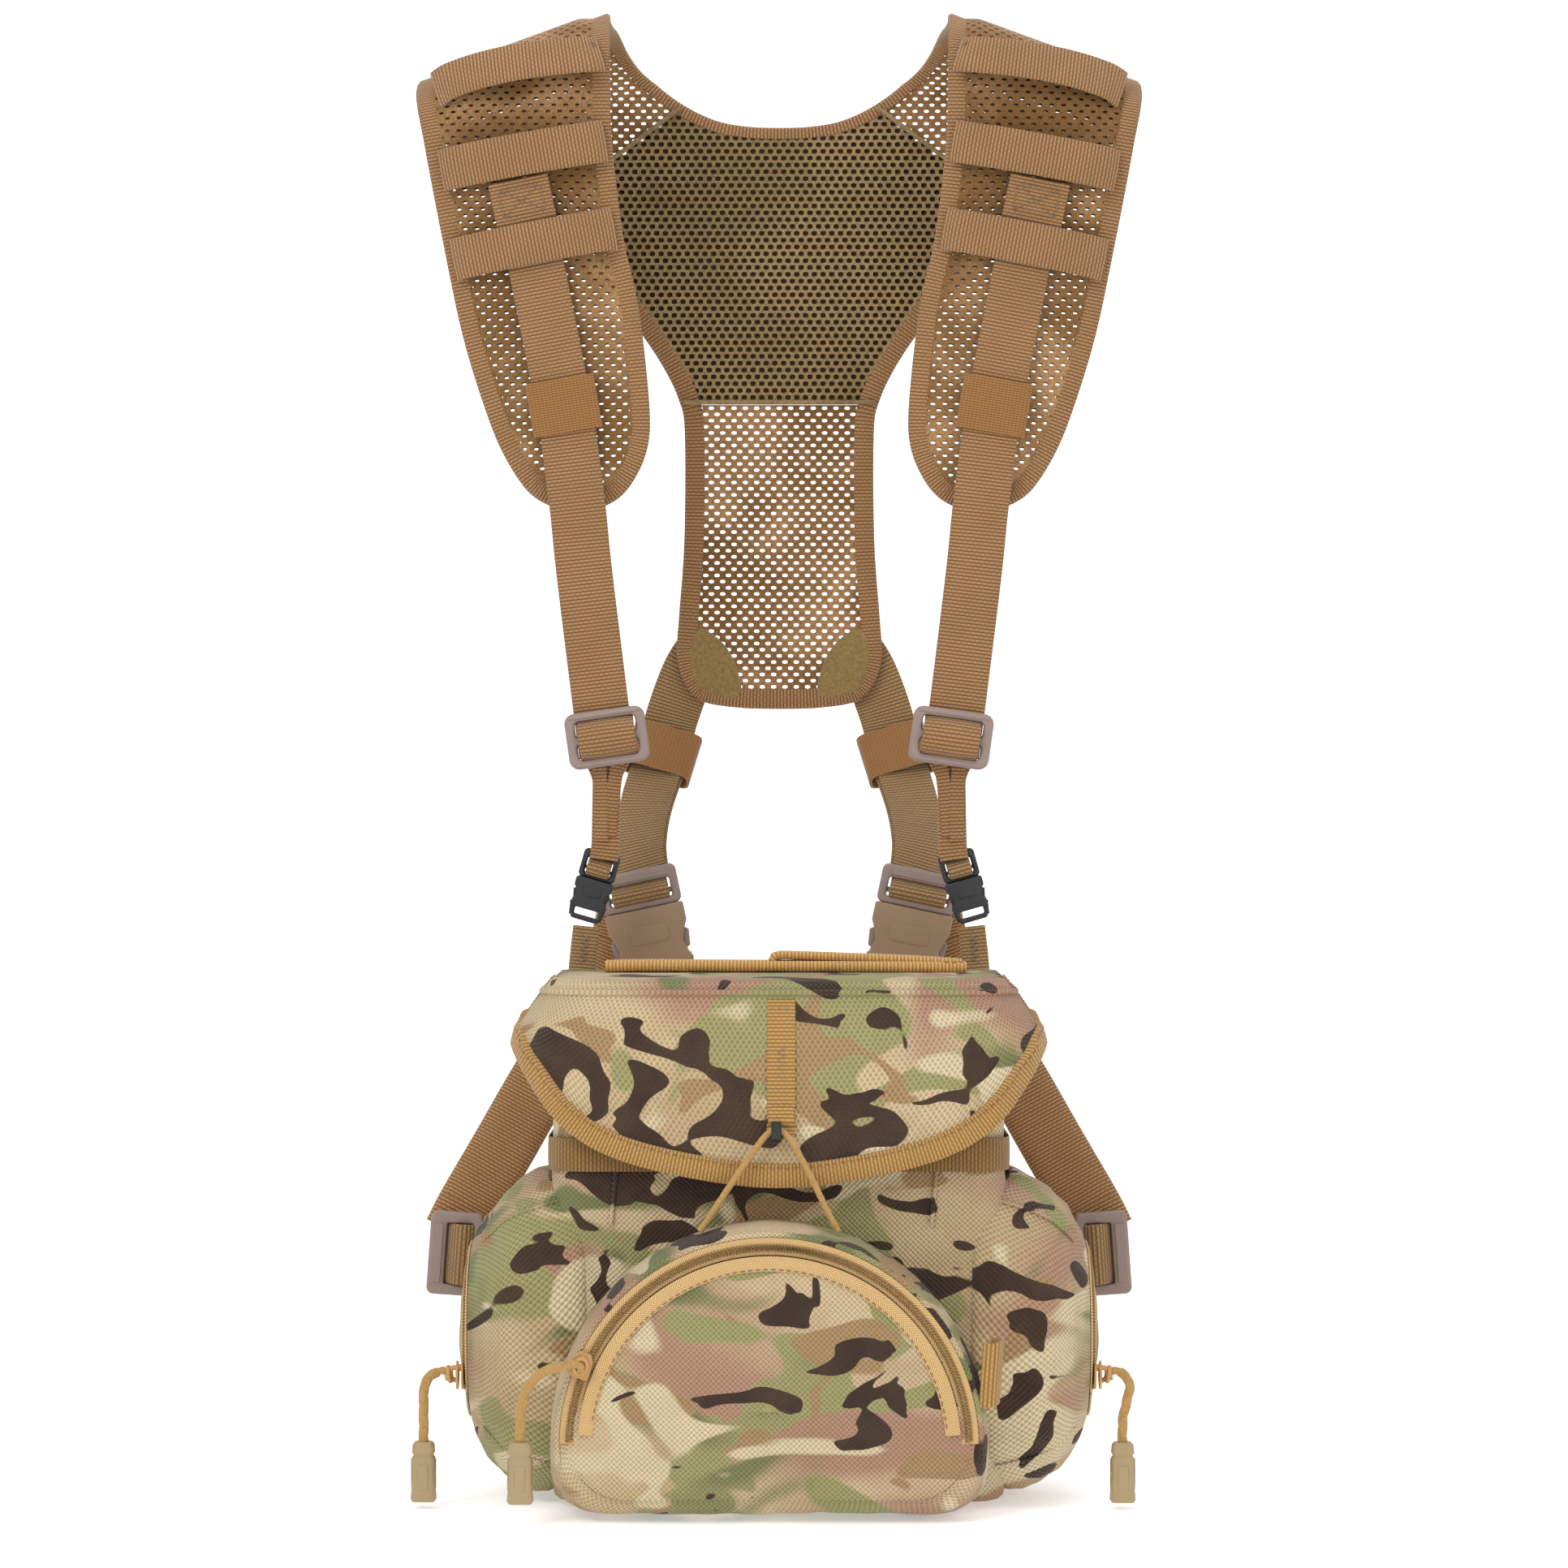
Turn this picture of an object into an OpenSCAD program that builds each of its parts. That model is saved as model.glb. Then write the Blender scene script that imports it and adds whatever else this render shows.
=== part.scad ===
// Binocular harness pack: a padded chest pack with three zipped pockets and a hooded lid,
// carried on a shoulder harness with a back yoke. Millimetres, +Z up, front towards -Y,
// origin on the ground under the middle of the whole object.

/* [Pack] */
// Half of the main compartment's width
half_w = 97; // [94:0.5:100]
// Depth of the main compartment
body_d = 90; // [86:1:94]
// Thickness of the shell fabric with its lining
wall = 2.5; // [2:0.1:3]
// Thickness of the foam that lines the main compartment
foam_t = 4; // [3:0.5:5]

/* [Lid] */
// Height of the lid's flat top
lid_top = 222; // [220:1:224]
// Thickness of the lid's padded fabric
lid_t = 2.2; // [2:0.1:2.4]
// Width of the folded webbing that binds the lid's edge
lid_binding_w = 10; // [8:0.5:11]

/* [Front pocket] */
// Radius of the zipper's outer edge
front_r = 87; // [84:0.5:88]
// Width of the zipper tape with its coil
zip_w = 7.5; // [6:0.5:8]
// Sideways offset of the pocket's middle
front_x = -4; // [-5:0.5:0]

/* [Side pockets] */
// Radius of the side zipper's outer edge
side_r = 38; // [35:0.5:39]
// Distance from the middle to the side zipper's plane
side_x = 131; // [129:0.5:132]

/* [Harness] */
// Width of the load-bearing webbing
webbing_w = 25; // [24:0.5:26]
// Thickness of one layer of webbing
webbing_t = 2; // [1.6:0.1:2.2]
// Half of the depth from the front of the pads to the back of the yoke
roll_r = 49.5; // [48:0.5:50]
// Radius at which the pads turn over the front and back of the shoulders
turn_r = 30; // [26:1:34]
// Sideways slope of the shoulders, in degrees
shoulder_slope = 20; // [18:1:21]

/* [Buckles] */
// Width of the large side-release buckles
large_w = 36; // [34:0.5:37]
// Width of the small side-release buckles
small_w = 16; // [15:0.5:17]

/* [Hidden] */
$fn = 48;
hull_fn = 32;

// Depths of the layers, front to back
back_y = 10;
front_y = back_y - body_d;
pocket_face_y = front_y - 36;
rim_z = 208;
ring_y = pocket_face_y - 3;
front_z = 29.4;
front_hinge_z = 48;
side_y = front_y / 2 - 2;
side_z = 70;
side_hinge_z = 50;

// Harness layers: straps, pad faces, yoke
strap_y = 15;
pad_y = 20;
pad_t = 8;
yoke_t = 8;
apex = [80, 0, 657];

camo = "#a98f6b";
coyote = "#8a6a40";
gold = "#b98d47";
taupe = "#8c7766";
mesh_col = "#7d6a45";

// ---------------------------------------------------------------- vector helpers
function unit(v) = v / norm(v);
function clamp_index(i, n) = max(0, min(n - 1, i));
function tangent(path, i) =
    unit(path[clamp_index(i + 1, len(path))] - path[clamp_index(i - 1, len(path))]);

// A flat ribbon of webbing along a path; facing is the direction its face looks.
module ribbon(path, width, thickness, facing = [0, -1, 0]) {
    n = len(path);
    rings = [for (i = [0:n - 1])
        let (t = tangent(path, i), w = unit(cross(t, facing)), f = unit(cross(w, t)))
        for (s = [[-1, -1], [1, -1], [1, 1], [-1, 1]])
            path[i] + s[0] * w * width / 2 + s[1] * f * thickness / 2];
    sides = [for (i = [0:n - 2], k = [0:3])
        let (a = 4 * i + k, b = 4 * i + (k + 1) % 4)
        each [[a, b, b + 4], [a, b + 4, a + 4]]];
    e = 4 * (n - 1);
    polyhedron(rings, concat(sides, [[0, 2, 1], [0, 3, 2], [e, e + 1, e + 2], [e, e + 2, e + 3]]));
}

// A round cord along a path, with a ring of corners at each point.
module cord_tube(path, d, corners = 8) {
    n = len(path);
    rings = [for (i = [0:n - 1])
        let (t = tangent(path, i), w = unit(cross(t, [0.3, -1, 0.2])), f = cross(w, t))
        for (k = [0:corners - 1])
            path[i] + d / 2 * (cos(360 * k / corners) * w + sin(360 * k / corners) * f)];
    sides = [for (i = [0:n - 2], k = [0:corners - 1])
        let (a = corners * i + k, b = corners * i + (k + 1) % corners)
        each [[a, b, b + corners], [a, b + corners, a + corners]]];
    e = corners * (n - 1);
    polyhedron(rings, concat(sides,
        [[for (k = [corners - 1:-1:0]) k]], [[for (k = [0:corners - 1]) e + k]]));
}

// A rectangle with round corners, from (x0, y0) to (x1, y1).
module rounded_rect(x0, y0, x1, y1, r) {
    translate([x0 + r, y0]) square([x1 - x0 - 2 * r, y1 - y0]);
    translate([x0, y0 + r]) square([x1 - x0, y1 - y0 - 2 * r]);
    for (x = [x0 + r, x1 - r], y = [y0 + r, y1 - r]) translate([x, y]) circle(r);
}

// Stands a flat outline drawn in X and Z up, from depth y0 to y1.
module standing(y0, y1) {
    translate([0, y1, 0]) rotate([90, 0, 0]) linear_extrude(y1 - y0) children();
}

// Draws a child for the left side and its mirror image for the right side.
module both_sides() {
    children();
    mirror([1, 0, 0]) children();
}

// ---------------------------------------------------------------- main compartment
module tub(inset, floor_z, top_z, open = 0) {
    translate([0, 0, floor_z])
        linear_extrude(top_z - floor_z + open)
            rounded_rect(-half_w + inset, front_y + inset, half_w - inset, back_y - inset, 14 - inset);
}

module main_shell() {
    color(camo) difference() {
        tub(0, 0, rim_z);
        tub(wall, wall, rim_z, 1);
    }
}

module foam_liner() {
    color("#4a4234") difference() {
        tub(wall, wall + 2.2, rim_z - 8);
        tub(wall + foam_t, wall + 2.2 + foam_t, rim_z, 1);
    }
}

module base_board() {
    color("#2d2d2d") translate([0, 0, wall]) linear_extrude(2)
        rounded_rect(-half_w + 8, front_y + 8, half_w - 8, back_y - 8, 6);
}

// Spacer-mesh padding that lies on the wearer's chest.
module back_panel() {
    color(mesh_col) standing(back_y, back_y + 5) rounded_rect(-70, 12, 70, 190, 12);
}

// Webbing band sewn round the body, partly under the lid.
module body_band() {
    color(gold) translate([0, 0, 141]) linear_extrude(14) difference() {
        rounded_rect(-half_w - 0.7, front_y - 0.7, half_w + 0.7, back_y + 30, 14.6);
        rounded_rect(-half_w - 0.1, front_y - 0.1, half_w + 0.1, back_y + 31, 14);
        translate([-200, back_y - 24]) square([400, 80]);
    }
}

// ---------------------------------------------------------------- front pocket
module front_outline(inset) {
    intersection() {
        translate([front_x, front_z]) circle(front_r + 4 - inset);
        translate([-150, front_z]) square([300, 200]);
    }
    difference() {
        rounded_rect(front_x - front_r - 4 + inset, inset, front_x + front_r + 4 - inset, front_z + 30,
            16 - inset);
        translate([-150, front_z]) square([300, 100]);
    }
}

// The opening that the zipper runs round, with the hinge of the door at its foot.
module dome(r, centre, hinge_z) {
    intersection() {
        translate(centre) circle(r);
        translate([-200, hinge_z]) square([400, 200]);
    }
}

module front_pocket() {
    color(camo) difference() {
        standing(pocket_face_y, front_y) front_outline(0);
        standing(pocket_face_y + 3, front_y + 1) front_outline(3);
        standing(pocket_face_y - 1, pocket_face_y + 4)
            dome(front_r - zip_w, [front_x, front_z], front_hinge_z);
    }
}

module front_zipper() {
    color(gold) standing(ring_y, pocket_face_y) difference() {
        dome(front_r, [front_x, front_z], front_hinge_z - 4);
        translate([front_x, front_z]) circle(front_r - zip_w);
    }
}

module front_door() {
    color(camo) difference() {
        intersection() {
            translate([front_x, pocket_face_y - 7 + 520, front_z]) sphere(520, $fn = 240);
            standing(pocket_face_y - 12, pocket_face_y + 3)
                dome(front_r - zip_w - 0.4, [front_x, front_z], front_hinge_z + 0.3);
        }
        translate([front_x, pocket_face_y - 4 + 520, front_z]) sphere(520, $fn = 240);
    }
}

// A folded webbing loop sewn into the pocket's right edge.
module pocket_tab() {
    color(gold) difference() {
        translate([front_x + front_r + 4, pocket_face_y + 6, 44]) cube([7, 12, 30]);
        translate([front_x + front_r + 3, pocket_face_y + 8, 43]) cube([6, 8, 32]);
    }
}

// ---------------------------------------------------------------- side pockets
// One cross slab of the bulging side pocket, at distance x from the middle.
module pocket_slab(x, t, y0, z0, y1, z1, r) {
    translate([x, 0, 0]) rotate([90, 0, 90]) linear_extrude(t)
        hull() for (y = [y0 + r, y1 - r], z = [z0 + r, z1 - r]) translate([y, z]) circle(r, $fn = hull_fn);
}

module side_bulge(inset) {
    hull() {
        pocket_slab(half_w, 8 - inset / 2, front_y + 8 + inset, inset, back_y - 8 - inset, 139 - inset, 20);
        pocket_slab(half_w, 24 - inset, front_y + 8 + inset, 5 + inset, back_y - 8 - inset, 130 - inset, 26);
        pocket_slab(half_w, side_x - half_w - inset, side_y - side_r - 1 + inset, 25 + inset,
            side_y + side_r + 1 - inset, side_z + side_r + 1 - inset, 34);
    }
}

module side_pocket() {
    difference() {
        side_bulge(0);
        translate([-0.01, 0, 0]) side_bulge(3);
        translate([side_x - 6, 0, 0]) rotate([90, 0, 90]) linear_extrude(8)
            dome(side_r - zip_w, [side_y, side_z], side_hinge_z);
    }
}

module side_pockets() { color(camo) both_sides() side_pocket(); }

module side_zippers() {
    color(gold) both_sides() translate([side_x, 0, 0]) rotate([90, 0, 90]) linear_extrude(3)
        difference() {
            dome(side_r, [side_y, side_z], side_hinge_z - 4);
            translate([side_y, side_z]) circle(side_r - zip_w);
        }
}

module side_door() {
    intersection() {
        translate([side_x + 6.5 - 110, side_y, side_z]) difference() {
            sphere(110, $fn = 180);
            sphere(107, $fn = 180);
        }
        translate([side_x - 1, 0, 0]) rotate([90, 0, 90]) linear_extrude(10)
            dome(side_r - zip_w - 0.4, [side_y, side_z], side_hinge_z + 0.3);
    }
}

module left_door() { color(camo) mirror([1, 0, 0]) side_door(); }
module right_door() { color(camo) side_door(); }

// ---------------------------------------------------------------- zipper sliders and pulls
// A slider that looks along -Y: body on the coil, and an eye that holds the pull cord.
module slider() {
    translate([-4.5, -3.6, -5.5]) cube([9, 3.3, 11]);
    translate([0, -5, 0]) rotate([0, 90, 0]) difference() {
        translate([0, 0, -1]) cylinder(h = 2, r = 3.4);
        translate([0, 0, -2]) cylinder(h = 4, r = 1.4);
    }
}

front_slider_at = [-82, ring_y, 64];
side_slider_at = [side_x + 3, side_y - 31, 54];
front_pull_route = [[-88.2, -125, 64], [-92, -125.4, 63.6], [-97, -126, 62], [-103, -127, 57],
    [-106, -127, 50], [-107, -127, 42], [-107, -127, 33]];
left_pull_route = [[-145.2, -73.5, 55], [-148.4, -75, 53.4], [-150.6, -76.5, 49.5], [-151, -77, 43],
    [-151, -77, 35], [-151, -77, 26]];
right_pull_route = [[145.2, -73.5, 55], [148, -76, 53], [149, -78.5, 48.5], [147.4, -79, 42],
    [146, -79, 34.5], [146, -79, 26]];
pull_d = 4.4;
bungee_d = 2.8;
bungee_route = [[-33, -106, 118], [-27, -104, 127], [-20, -101.5, 137.5], [-12, -99.5, 149],
    [-6, -98.8, 157], [-1, -98.7, 160.4], [4, -98.8, 157], [9, -99.5, 149], [15, -101.5, 137.5],
    [20, -104, 127], [25, -106, 118]];

module front_slider() {
    color(gold) translate(front_slider_at) rotate([0, 20, 0]) slider();
}

module side_slider() {
    translate(side_slider_at) rotate([0, 0, 90]) rotate([0, -32, 0]) slider();
}

module left_slider() { color(gold) mirror([1, 0, 0]) side_slider(); }
module right_slider() { color(gold) side_slider(); }

module front_pull_cord() { color(gold) cord_tube(front_pull_route, pull_d); }
module left_pull_cord() { color(gold) cord_tube(left_pull_route, pull_d); }
module right_pull_cord() { color(gold) cord_tube(right_pull_route, pull_d); }
module bungee_cord() { color(gold) cord_tube(bungee_route, bungee_d); }

// The moulded cord end that grips both strands, hanging under the cord's last point.
module cord_end(at) {
    translate([at[0] - 5.5, at[1] - 4.5, at[2] - 25.5]) linear_extrude(25.5)
        rounded_rect(0, 0, 11, 9, 2.5);
}

module front_cord_end() { color(gold) cord_end(front_pull_route[6]); }
module left_cord_end() { color(gold) cord_end(left_pull_route[5]); }
module right_cord_end() { color(gold) cord_end(right_pull_route[5]); }

// ---------------------------------------------------------------- lid
module lid_slab(x, y0, y1, z) {
    translate([0, 0, z]) linear_extrude(1) hull()
        for (side = [-1, 1], c = [[16, y0 + 16], [2, y1 - 2]]) translate([side * (x - c[0]), c[1]])
            circle(c[0], $fn = hull_fn);
}

module lid_bulge(grow) {
    hull() {
        lid_slab(half_w + grow, front_y - grow, back_y - 0.4, lid_top - 1 - max(0, -grow));
        lid_slab(half_w + 15 + grow, front_y - 8 - grow, back_y - 0.4, 197);
        lid_slab(half_w + 3.5 + grow, front_y - 11 - grow, back_y - 0.4, 132);
    }
}

// What the lid covers, seen from the front, inset from its free edge.
module lid_front_profile(inset) {
    polygon([[-130, 260], [-118, 200 + inset], [-107, 182 + inset], [-92, 162 + inset],
        [-70, 148.5 + inset], [-36, 139.5 + inset], [0, 135 + inset], [36, 139.5 + inset],
        [70, 148.5 + inset], [92, 162 + inset], [107, 182 + inset], [118, 200 + inset], [130, 260]]);
}

// What the lid covers, seen from the side: the free edge climbs to the back corner.
module lid_side_profile(inset) {
    polygon([[front_y - 20, 100], [front_y + 6, 150 + inset], [front_y + 24, 184 + inset],
        [front_y + 50, 198 + inset], [back_y - 4, 213 + inset / 3], [back_y + 2, 260],
        [front_y - 20, 260]]);
}

module lid_region(inset) {
    intersection() {
        standing(front_y - 40, back_y + 10) lid_front_profile(inset);
        translate([-150, 0, 0]) rotate([90, 0, 90]) linear_extrude(300) lid_side_profile(inset);
    }
}

module lid_shell() {
    color(camo) intersection() {
        difference() {
            lid_bulge(0);
            translate([0, 0, -0.5]) lid_bulge(-lid_t);
            translate([-half_w + 1, back_y - 12, 150]) cube([2 * half_w - 2, 20, lid_top - lid_t - 150.5]);
        }
        lid_region(lid_binding_w);
    }
}

module lid_binding() {
    color(gold) intersection() {
        difference() {
            lid_bulge(1.2);
            translate([0, 0, -0.5]) lid_bulge(-lid_t);
            translate([-half_w + 1, back_y - 12, 150]) cube([2 * half_w - 2, 20, 100]);
        }
        difference() {
            lid_region(0);
            lid_region(lid_binding_w);
        }
    }
}

// Webbing tab down the middle of the lid's front, sewn at the top.
module lid_tab() {
    color(gold) ribbon([[1, -85.2, 213], [1, -90.4, 197], [1, -92.8, 176], [1, -94.2, 158]], 12, 2.2);
}

// Open hook at the foot of the tab, over which the bungee is looped.
module lid_hook() {
    color("#1d1c1a") translate([-4, -102.2, 154]) {
        translate([0, 5.5, 0]) cube([6, 1.2, 16]);
        cube([6, 5.6, 2.2]);
        cube([6, 1.2, 10]);
    }
}

module carry_handle() {
    color(gold) translate([0, -26, lid_top + 0.4]) {
        translate([-76, 0, 0]) cube([158, 22, 2.4]);
        translate([-60, 2, 2.4]) cube([130, 18, 2]);
    }
}

// ---------------------------------------------------------------- shoulder pads and yoke
// Section through the shoulders, seen from the side, inset from the outer face.
module roll_section(inset) {
    half = roll_r + 2 - inset;
    rounded_rect(-half, -400, half, roll_r - inset, turn_r - inset);
}

// The curved sheet that rolls over both shoulders, between two depths from its outer face.
module shoulder_roll(inset, thickness) {
    translate([apex[0], 0, apex[2]]) rotate([0, shoulder_slope, 0])
        translate([-220, pad_y + roll_r + 2, -roll_r]) rotate([90, 0, 90]) linear_extrude(420)
            difference() {
                roll_section(inset);
                roll_section(inset + thickness);
            }
}

// Outline of the right pad's front, from the crest to its rounded lower end.
function pad_outline() = [
    [80, 675], [163, 640], [163, 618], [159, 592], [151, 550], [142, 507], [132, 474],
    [124, 454], [114, 438], [104, 431], [92, 428], [80, 430], [70, 436], [62, 448],
    [58.5, 462], [58, 474], [61, 505], [64.6, 528], [69.7, 550], [74.8, 592], [76, 640]];

module pad_half(y0, y1, inset) {
    standing(y0, y1) offset(delta = -inset) polygon(pad_outline());
}

module right_pad_solid() {
    intersection() {
        shoulder_roll(0, pad_t);
        pad_half(pad_y - 5, pad_y + roll_r + 2, 5);
    }
}

module right_shoulder_pad() { color(mesh_col) right_pad_solid(); }
module left_shoulder_pad() { color(mesh_col) mirror([1, 0, 0]) right_pad_solid(); }

module pad_bindings() {
    color(coyote) both_sides() intersection() {
        shoulder_roll(0, pad_t);
        difference() {
            pad_half(pad_y - 5, pad_y + roll_r + 2, 0);
            pad_half(pad_y - 6, pad_y + roll_r + 3, 5);
        }
    }
}

// Half of the yoke's outline, from the neckline's middle out to the shoulder and down.
function neckline() = [[0, 613], [14, 613.5], [30, 616], [47, 625], [62, 637], [73, 652], [77, 672]];
function outer_back() = [[163, 640], [163, 622], [152, 600], [128, 574], [100, 551], [78, 533],
    [64.5, 516], [54, 500], [47, 485], [44, 470], [44.5, 420], [47, 384], [48, 365], [44, 352], [36, 344]];

module yoke_half() {
    polygon(concat(neckline(), outer_back(), [[18, 341], [0, 340.5]]));
}

module yoke_region(inset) {
    difference() {
        union() {
            yoke_half();
            mirror([1, 0]) yoke_half();
            translate([-0.1, 350]) square([0.2, 250]);
        }
        if (inset > 0) difference() {
            translate([-400, 100]) square([800, 700]);
            offset(delta = -inset) union() {
                yoke_half();
                mirror([1, 0]) yoke_half();
                translate([-5, 350]) square([10, 250]);
            }
        }
    }
}

// The back half of the rolled sheet, joined at the middle of the back.
module back_sheet(inset, thickness) {
    both_sides() intersection() {
        shoulder_roll(inset, thickness);
        translate([-0.5, pad_y + roll_r + 2, 200]) cube([200, 120, 600]);
    }
}

// The seam line between the padded yoke and the open mesh beside it.
module padded_zone() {
    polygon([[0, 700], [45, 700], [45, 622], [80, 597], [80, 484], [-80, 484], [-80, 597],
        [-45, 622], [-45, 700]]);
}

module yoke_pad() {
    color("#5d4f2c") intersection() {
        back_sheet(0, yoke_t);
        standing(0, 200) intersection() {
            yoke_region(5);
            padded_zone();
        }
    }
}

module back_mesh() {
    color(mesh_col) intersection() {
        back_sheet(5, 2.5);
        standing(0, 200) intersection() {
            yoke_region(5);
            translate([-80, 300]) square([160, 184]);
        }
    }
}

module shoulder_bridges() {
    color(mesh_col) intersection() {
        back_sheet(1, 6);
        standing(0, 200) difference() {
            yoke_region(5);
            padded_zone();
            translate([-80, 300]) square([160, 184.1]);
        }
    }
}

module yoke_binding() {
    color(coyote) intersection() {
        union() {
            back_sheet(5, 2.6);
            intersection() {
                back_sheet(0.5, 7);
                translate([-200, 0, 470]) cube([400, 200, 200]);
            }
        }
        standing(0, 200) difference() {
            yoke_region(0);
            yoke_region(5);
        }
    }
}

// ---------------------------------------------------------------- webbing
strap_mid = strap_y + webbing_t / 2;

module pad_loop(x0, z0, x1, z1, h) {
    a = atan2(z1 - z0, x1 - x0);
    long = norm([x1 - x0, z1 - z0]);
    translate([x0, pad_y - 12, z0]) rotate([0, -a, 0]) {
        translate([0, 1.5, -h / 2]) cube([long, webbing_t, h]);
        for (x = [0, long - 7]) translate([x, 1.5, -h / 2]) cube([7, 12 - 1.5, h]);
    }
}

module pad_loops() {
    color(coyote) both_sides() {
        pad_loop(82, 631, 150, 618, 19);
        pad_loop(80, 592, 147, 580, 19);
        pad_loop(76, 553, 142, 540, 19);
    }
}

module shoulder_straps() {
    color(coyote) both_sides() {
        ribbon([[115, strap_mid, 569], [111, strap_mid, 550], [106, strap_mid, 525], [100, strap_mid, 495],
            [95, strap_mid, 468], [90, strap_mid, 430], [87, strap_mid, 401], [81, strap_mid, 352],
            [76.6, strap_mid, 318]], webbing_w, webbing_t);
        translate([115, strap_mid + 1, 565]) rotate([0, 12, 0]) translate([-12.5, 0, -4]) cube([25, 3, 8]);
    }
}

module folded_tabs() {
    color(coyote) both_sides()
        ribbon([[77, strap_mid + 3.2, 322], [77, strap_mid + 4.4, 300], [77.6, strap_mid + 6.5, 277.6]],
            13, 3.4);
}

module corner_straps() {
    color(coyote) both_sides()
        ribbon([[86.2, 23.5, 241.6], [87.6, 21, 228], [88.5, 16, 214], [88.5, back_y + 1.2, 196],
            [88.5, back_y + 1.2, 178]], 12, 2.2);
}

lower_back_path = [[44, 121, 362], [47.5, 121, 349], [50, 120, 338], [54.5, 112, 319], [61, 94, 297],
    [63.5, 78, 279], [62.5, 70.3, 266]];
side_strap_path = [[69, 73, 247], [72.5, 72.6, 232], [78, 71.4, 219], [88, 65, 203], [107, 49, 172],
    [124, 37, 142], [139, 29.5, 116], [145, 27.4, 104]];

module lower_back_straps() {
    color(coyote) both_sides() ribbon(lower_back_path, webbing_w, 3, [0.2, -1, -0.3]);
}

module side_straps() {
    color("#6b4f2e") both_sides() ribbon(side_strap_path, 29, 4, [-0.1, -1, 0.25]);
}

// ---------------------------------------------------------------- adjusters and keepers
module adjuster(tilt) {
    translate([76.6, strap_y - 5, 326]) rotate([0, tilt, 0]) rotate([-90, 0, 0])
        linear_extrude(4.4) difference() {
            rounded_rect(-18, -12.5, 18, 12.5, 4);
            rounded_rect(-13.5, 2.2, 13.5, 8.5, 2);
            rounded_rect(-13.5, -8.5, 13.5, -2.2, 2);
        }
}

module left_adjuster() { color(taupe) mirror([1, 0, 0]) adjuster(8); }
module right_adjuster() { color(taupe) adjuster(8); }

// An elastic band round a stretch of webbing, open at both ends.
module keeper(w, gap) {
    linear_extrude(24, center = true) difference() {
        square([w, gap + 3.2], center = true);
        square([w - 3.2, gap], center = true);
    }
}

module pad_keeper() {
    translate([96, strap_mid, 474]) rotate([0, 9.6, 0]) keeper(31.4, webbing_t + 1.2);
}

module left_pad_keeper() { color(gold) mirror([1, 0, 0]) pad_keeper(); }
module right_pad_keeper() { color(gold) pad_keeper(); }

module back_keeper() {
    translate([54.8, 111.6, 319.5]) rotate([-33, 0, 0]) rotate([0, 166, 0]) rotate([0, 0, 8])
        keeper(33, 10.6);
}

module left_back_keeper() { color(gold) mirror([1, 0, 0]) back_keeper(); }
module right_back_keeper() { color(gold) back_keeper(); }

// ---------------------------------------------------------------- side-release buckles
// The male half, pointing down: webbing bar on top, two side prongs and a guide tongue.
module buckle_male(w, t, frame_h, reach, bar) {
    linear_extrude(t, center = true) {
        difference() {
            rounded_rect(-w / 2, 0, w / 2, frame_h, 2);
            rounded_rect(-w / 2 + bar, bar, w / 2 - bar, frame_h - bar, 1);
        }
    }
    linear_extrude(t * 0.5, center = true) {
        for (s = [-1, 1]) translate([s * (w / 2 - bar * 0.5 - 1.2) - bar * 0.4, -reach])
            square([bar * 0.8, reach + 0.5]);
        translate([-bar * 0.5, -reach * 0.8]) square([bar, reach * 0.8 + 0.5]);
    }
}

// The female half: a flat sleeve with finger windows in its sides and a bar for its webbing.
module buckle_female(w, t, body_h, reach, bar) {
    difference() {
        linear_extrude(t, center = true) difference() {
            rounded_rect(-w / 2, -body_h - bar * 2.6, w / 2, -0.4, 2);
            translate([-w / 2 + bar, -body_h - bar * 1.6]) square([w - 2 * bar, bar * 1.3]);
        }
        linear_extrude(t * 0.62, center = true) translate([-w / 2 + 1, -reach - 1])
            square([w - 2, reach + 2]);
        linear_extrude(t * 0.62, center = true) translate([-w, -reach - 1]) square([2 * w, reach * 0.55]);
    }
}

module small_pose() { translate([82.2, 25, 262.5]) rotate([0, -16, 0]) rotate([90, 0, 0]) children(); }
module mid_pose() { translate([61.8, 63, 248.5]) rotate([0, 12, 0]) rotate([90, 0, 0]) children(); }
module side_pose() { translate([133, 20, 95]) rotate([0, 86, 0]) rotate([90, 0, 0]) children(); }

module small_male() { small_pose() buckle_male(small_w, 6, 13, 11, 2.2); }
module small_female() { small_pose() buckle_female(small_w, 7, 13, 11, 2.2); }
module mid_male() { mid_pose() buckle_male(large_w, 7, 18, 24, 4.5); }
module mid_female() { mid_pose() buckle_female(large_w, 9, 26, 24, 3.5); }
module side_male() { side_pose() buckle_male(large_w, 7, 23, 20, 3.4); }
module side_female() { side_pose() buckle_female(large_w, 9, 22, 20, 3.5); }

module left_small_male() { color("#151515") mirror([1, 0, 0]) small_male(); }
module right_small_male() { color("#151515") small_male(); }
module left_small_female() { color("#1d1d1d") mirror([1, 0, 0]) small_female(); }
module right_small_female() { color("#1d1d1d") small_female(); }
module left_mid_male() { color(taupe) mirror([1, 0, 0]) mid_male(); }
module right_mid_male() { color(taupe) mid_male(); }
module left_mid_female() { color("#98826c") mirror([1, 0, 0]) mid_female(); }
module right_mid_female() { color("#98826c") mid_female(); }
module left_side_male() { color(taupe) mirror([1, 0, 0]) side_male(); }
module right_side_male() { color(taupe) side_male(); }
module left_side_female() { color("#98826c") mirror([1, 0, 0]) side_female(); }
module right_side_female() { color("#98826c") side_female(); }

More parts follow.
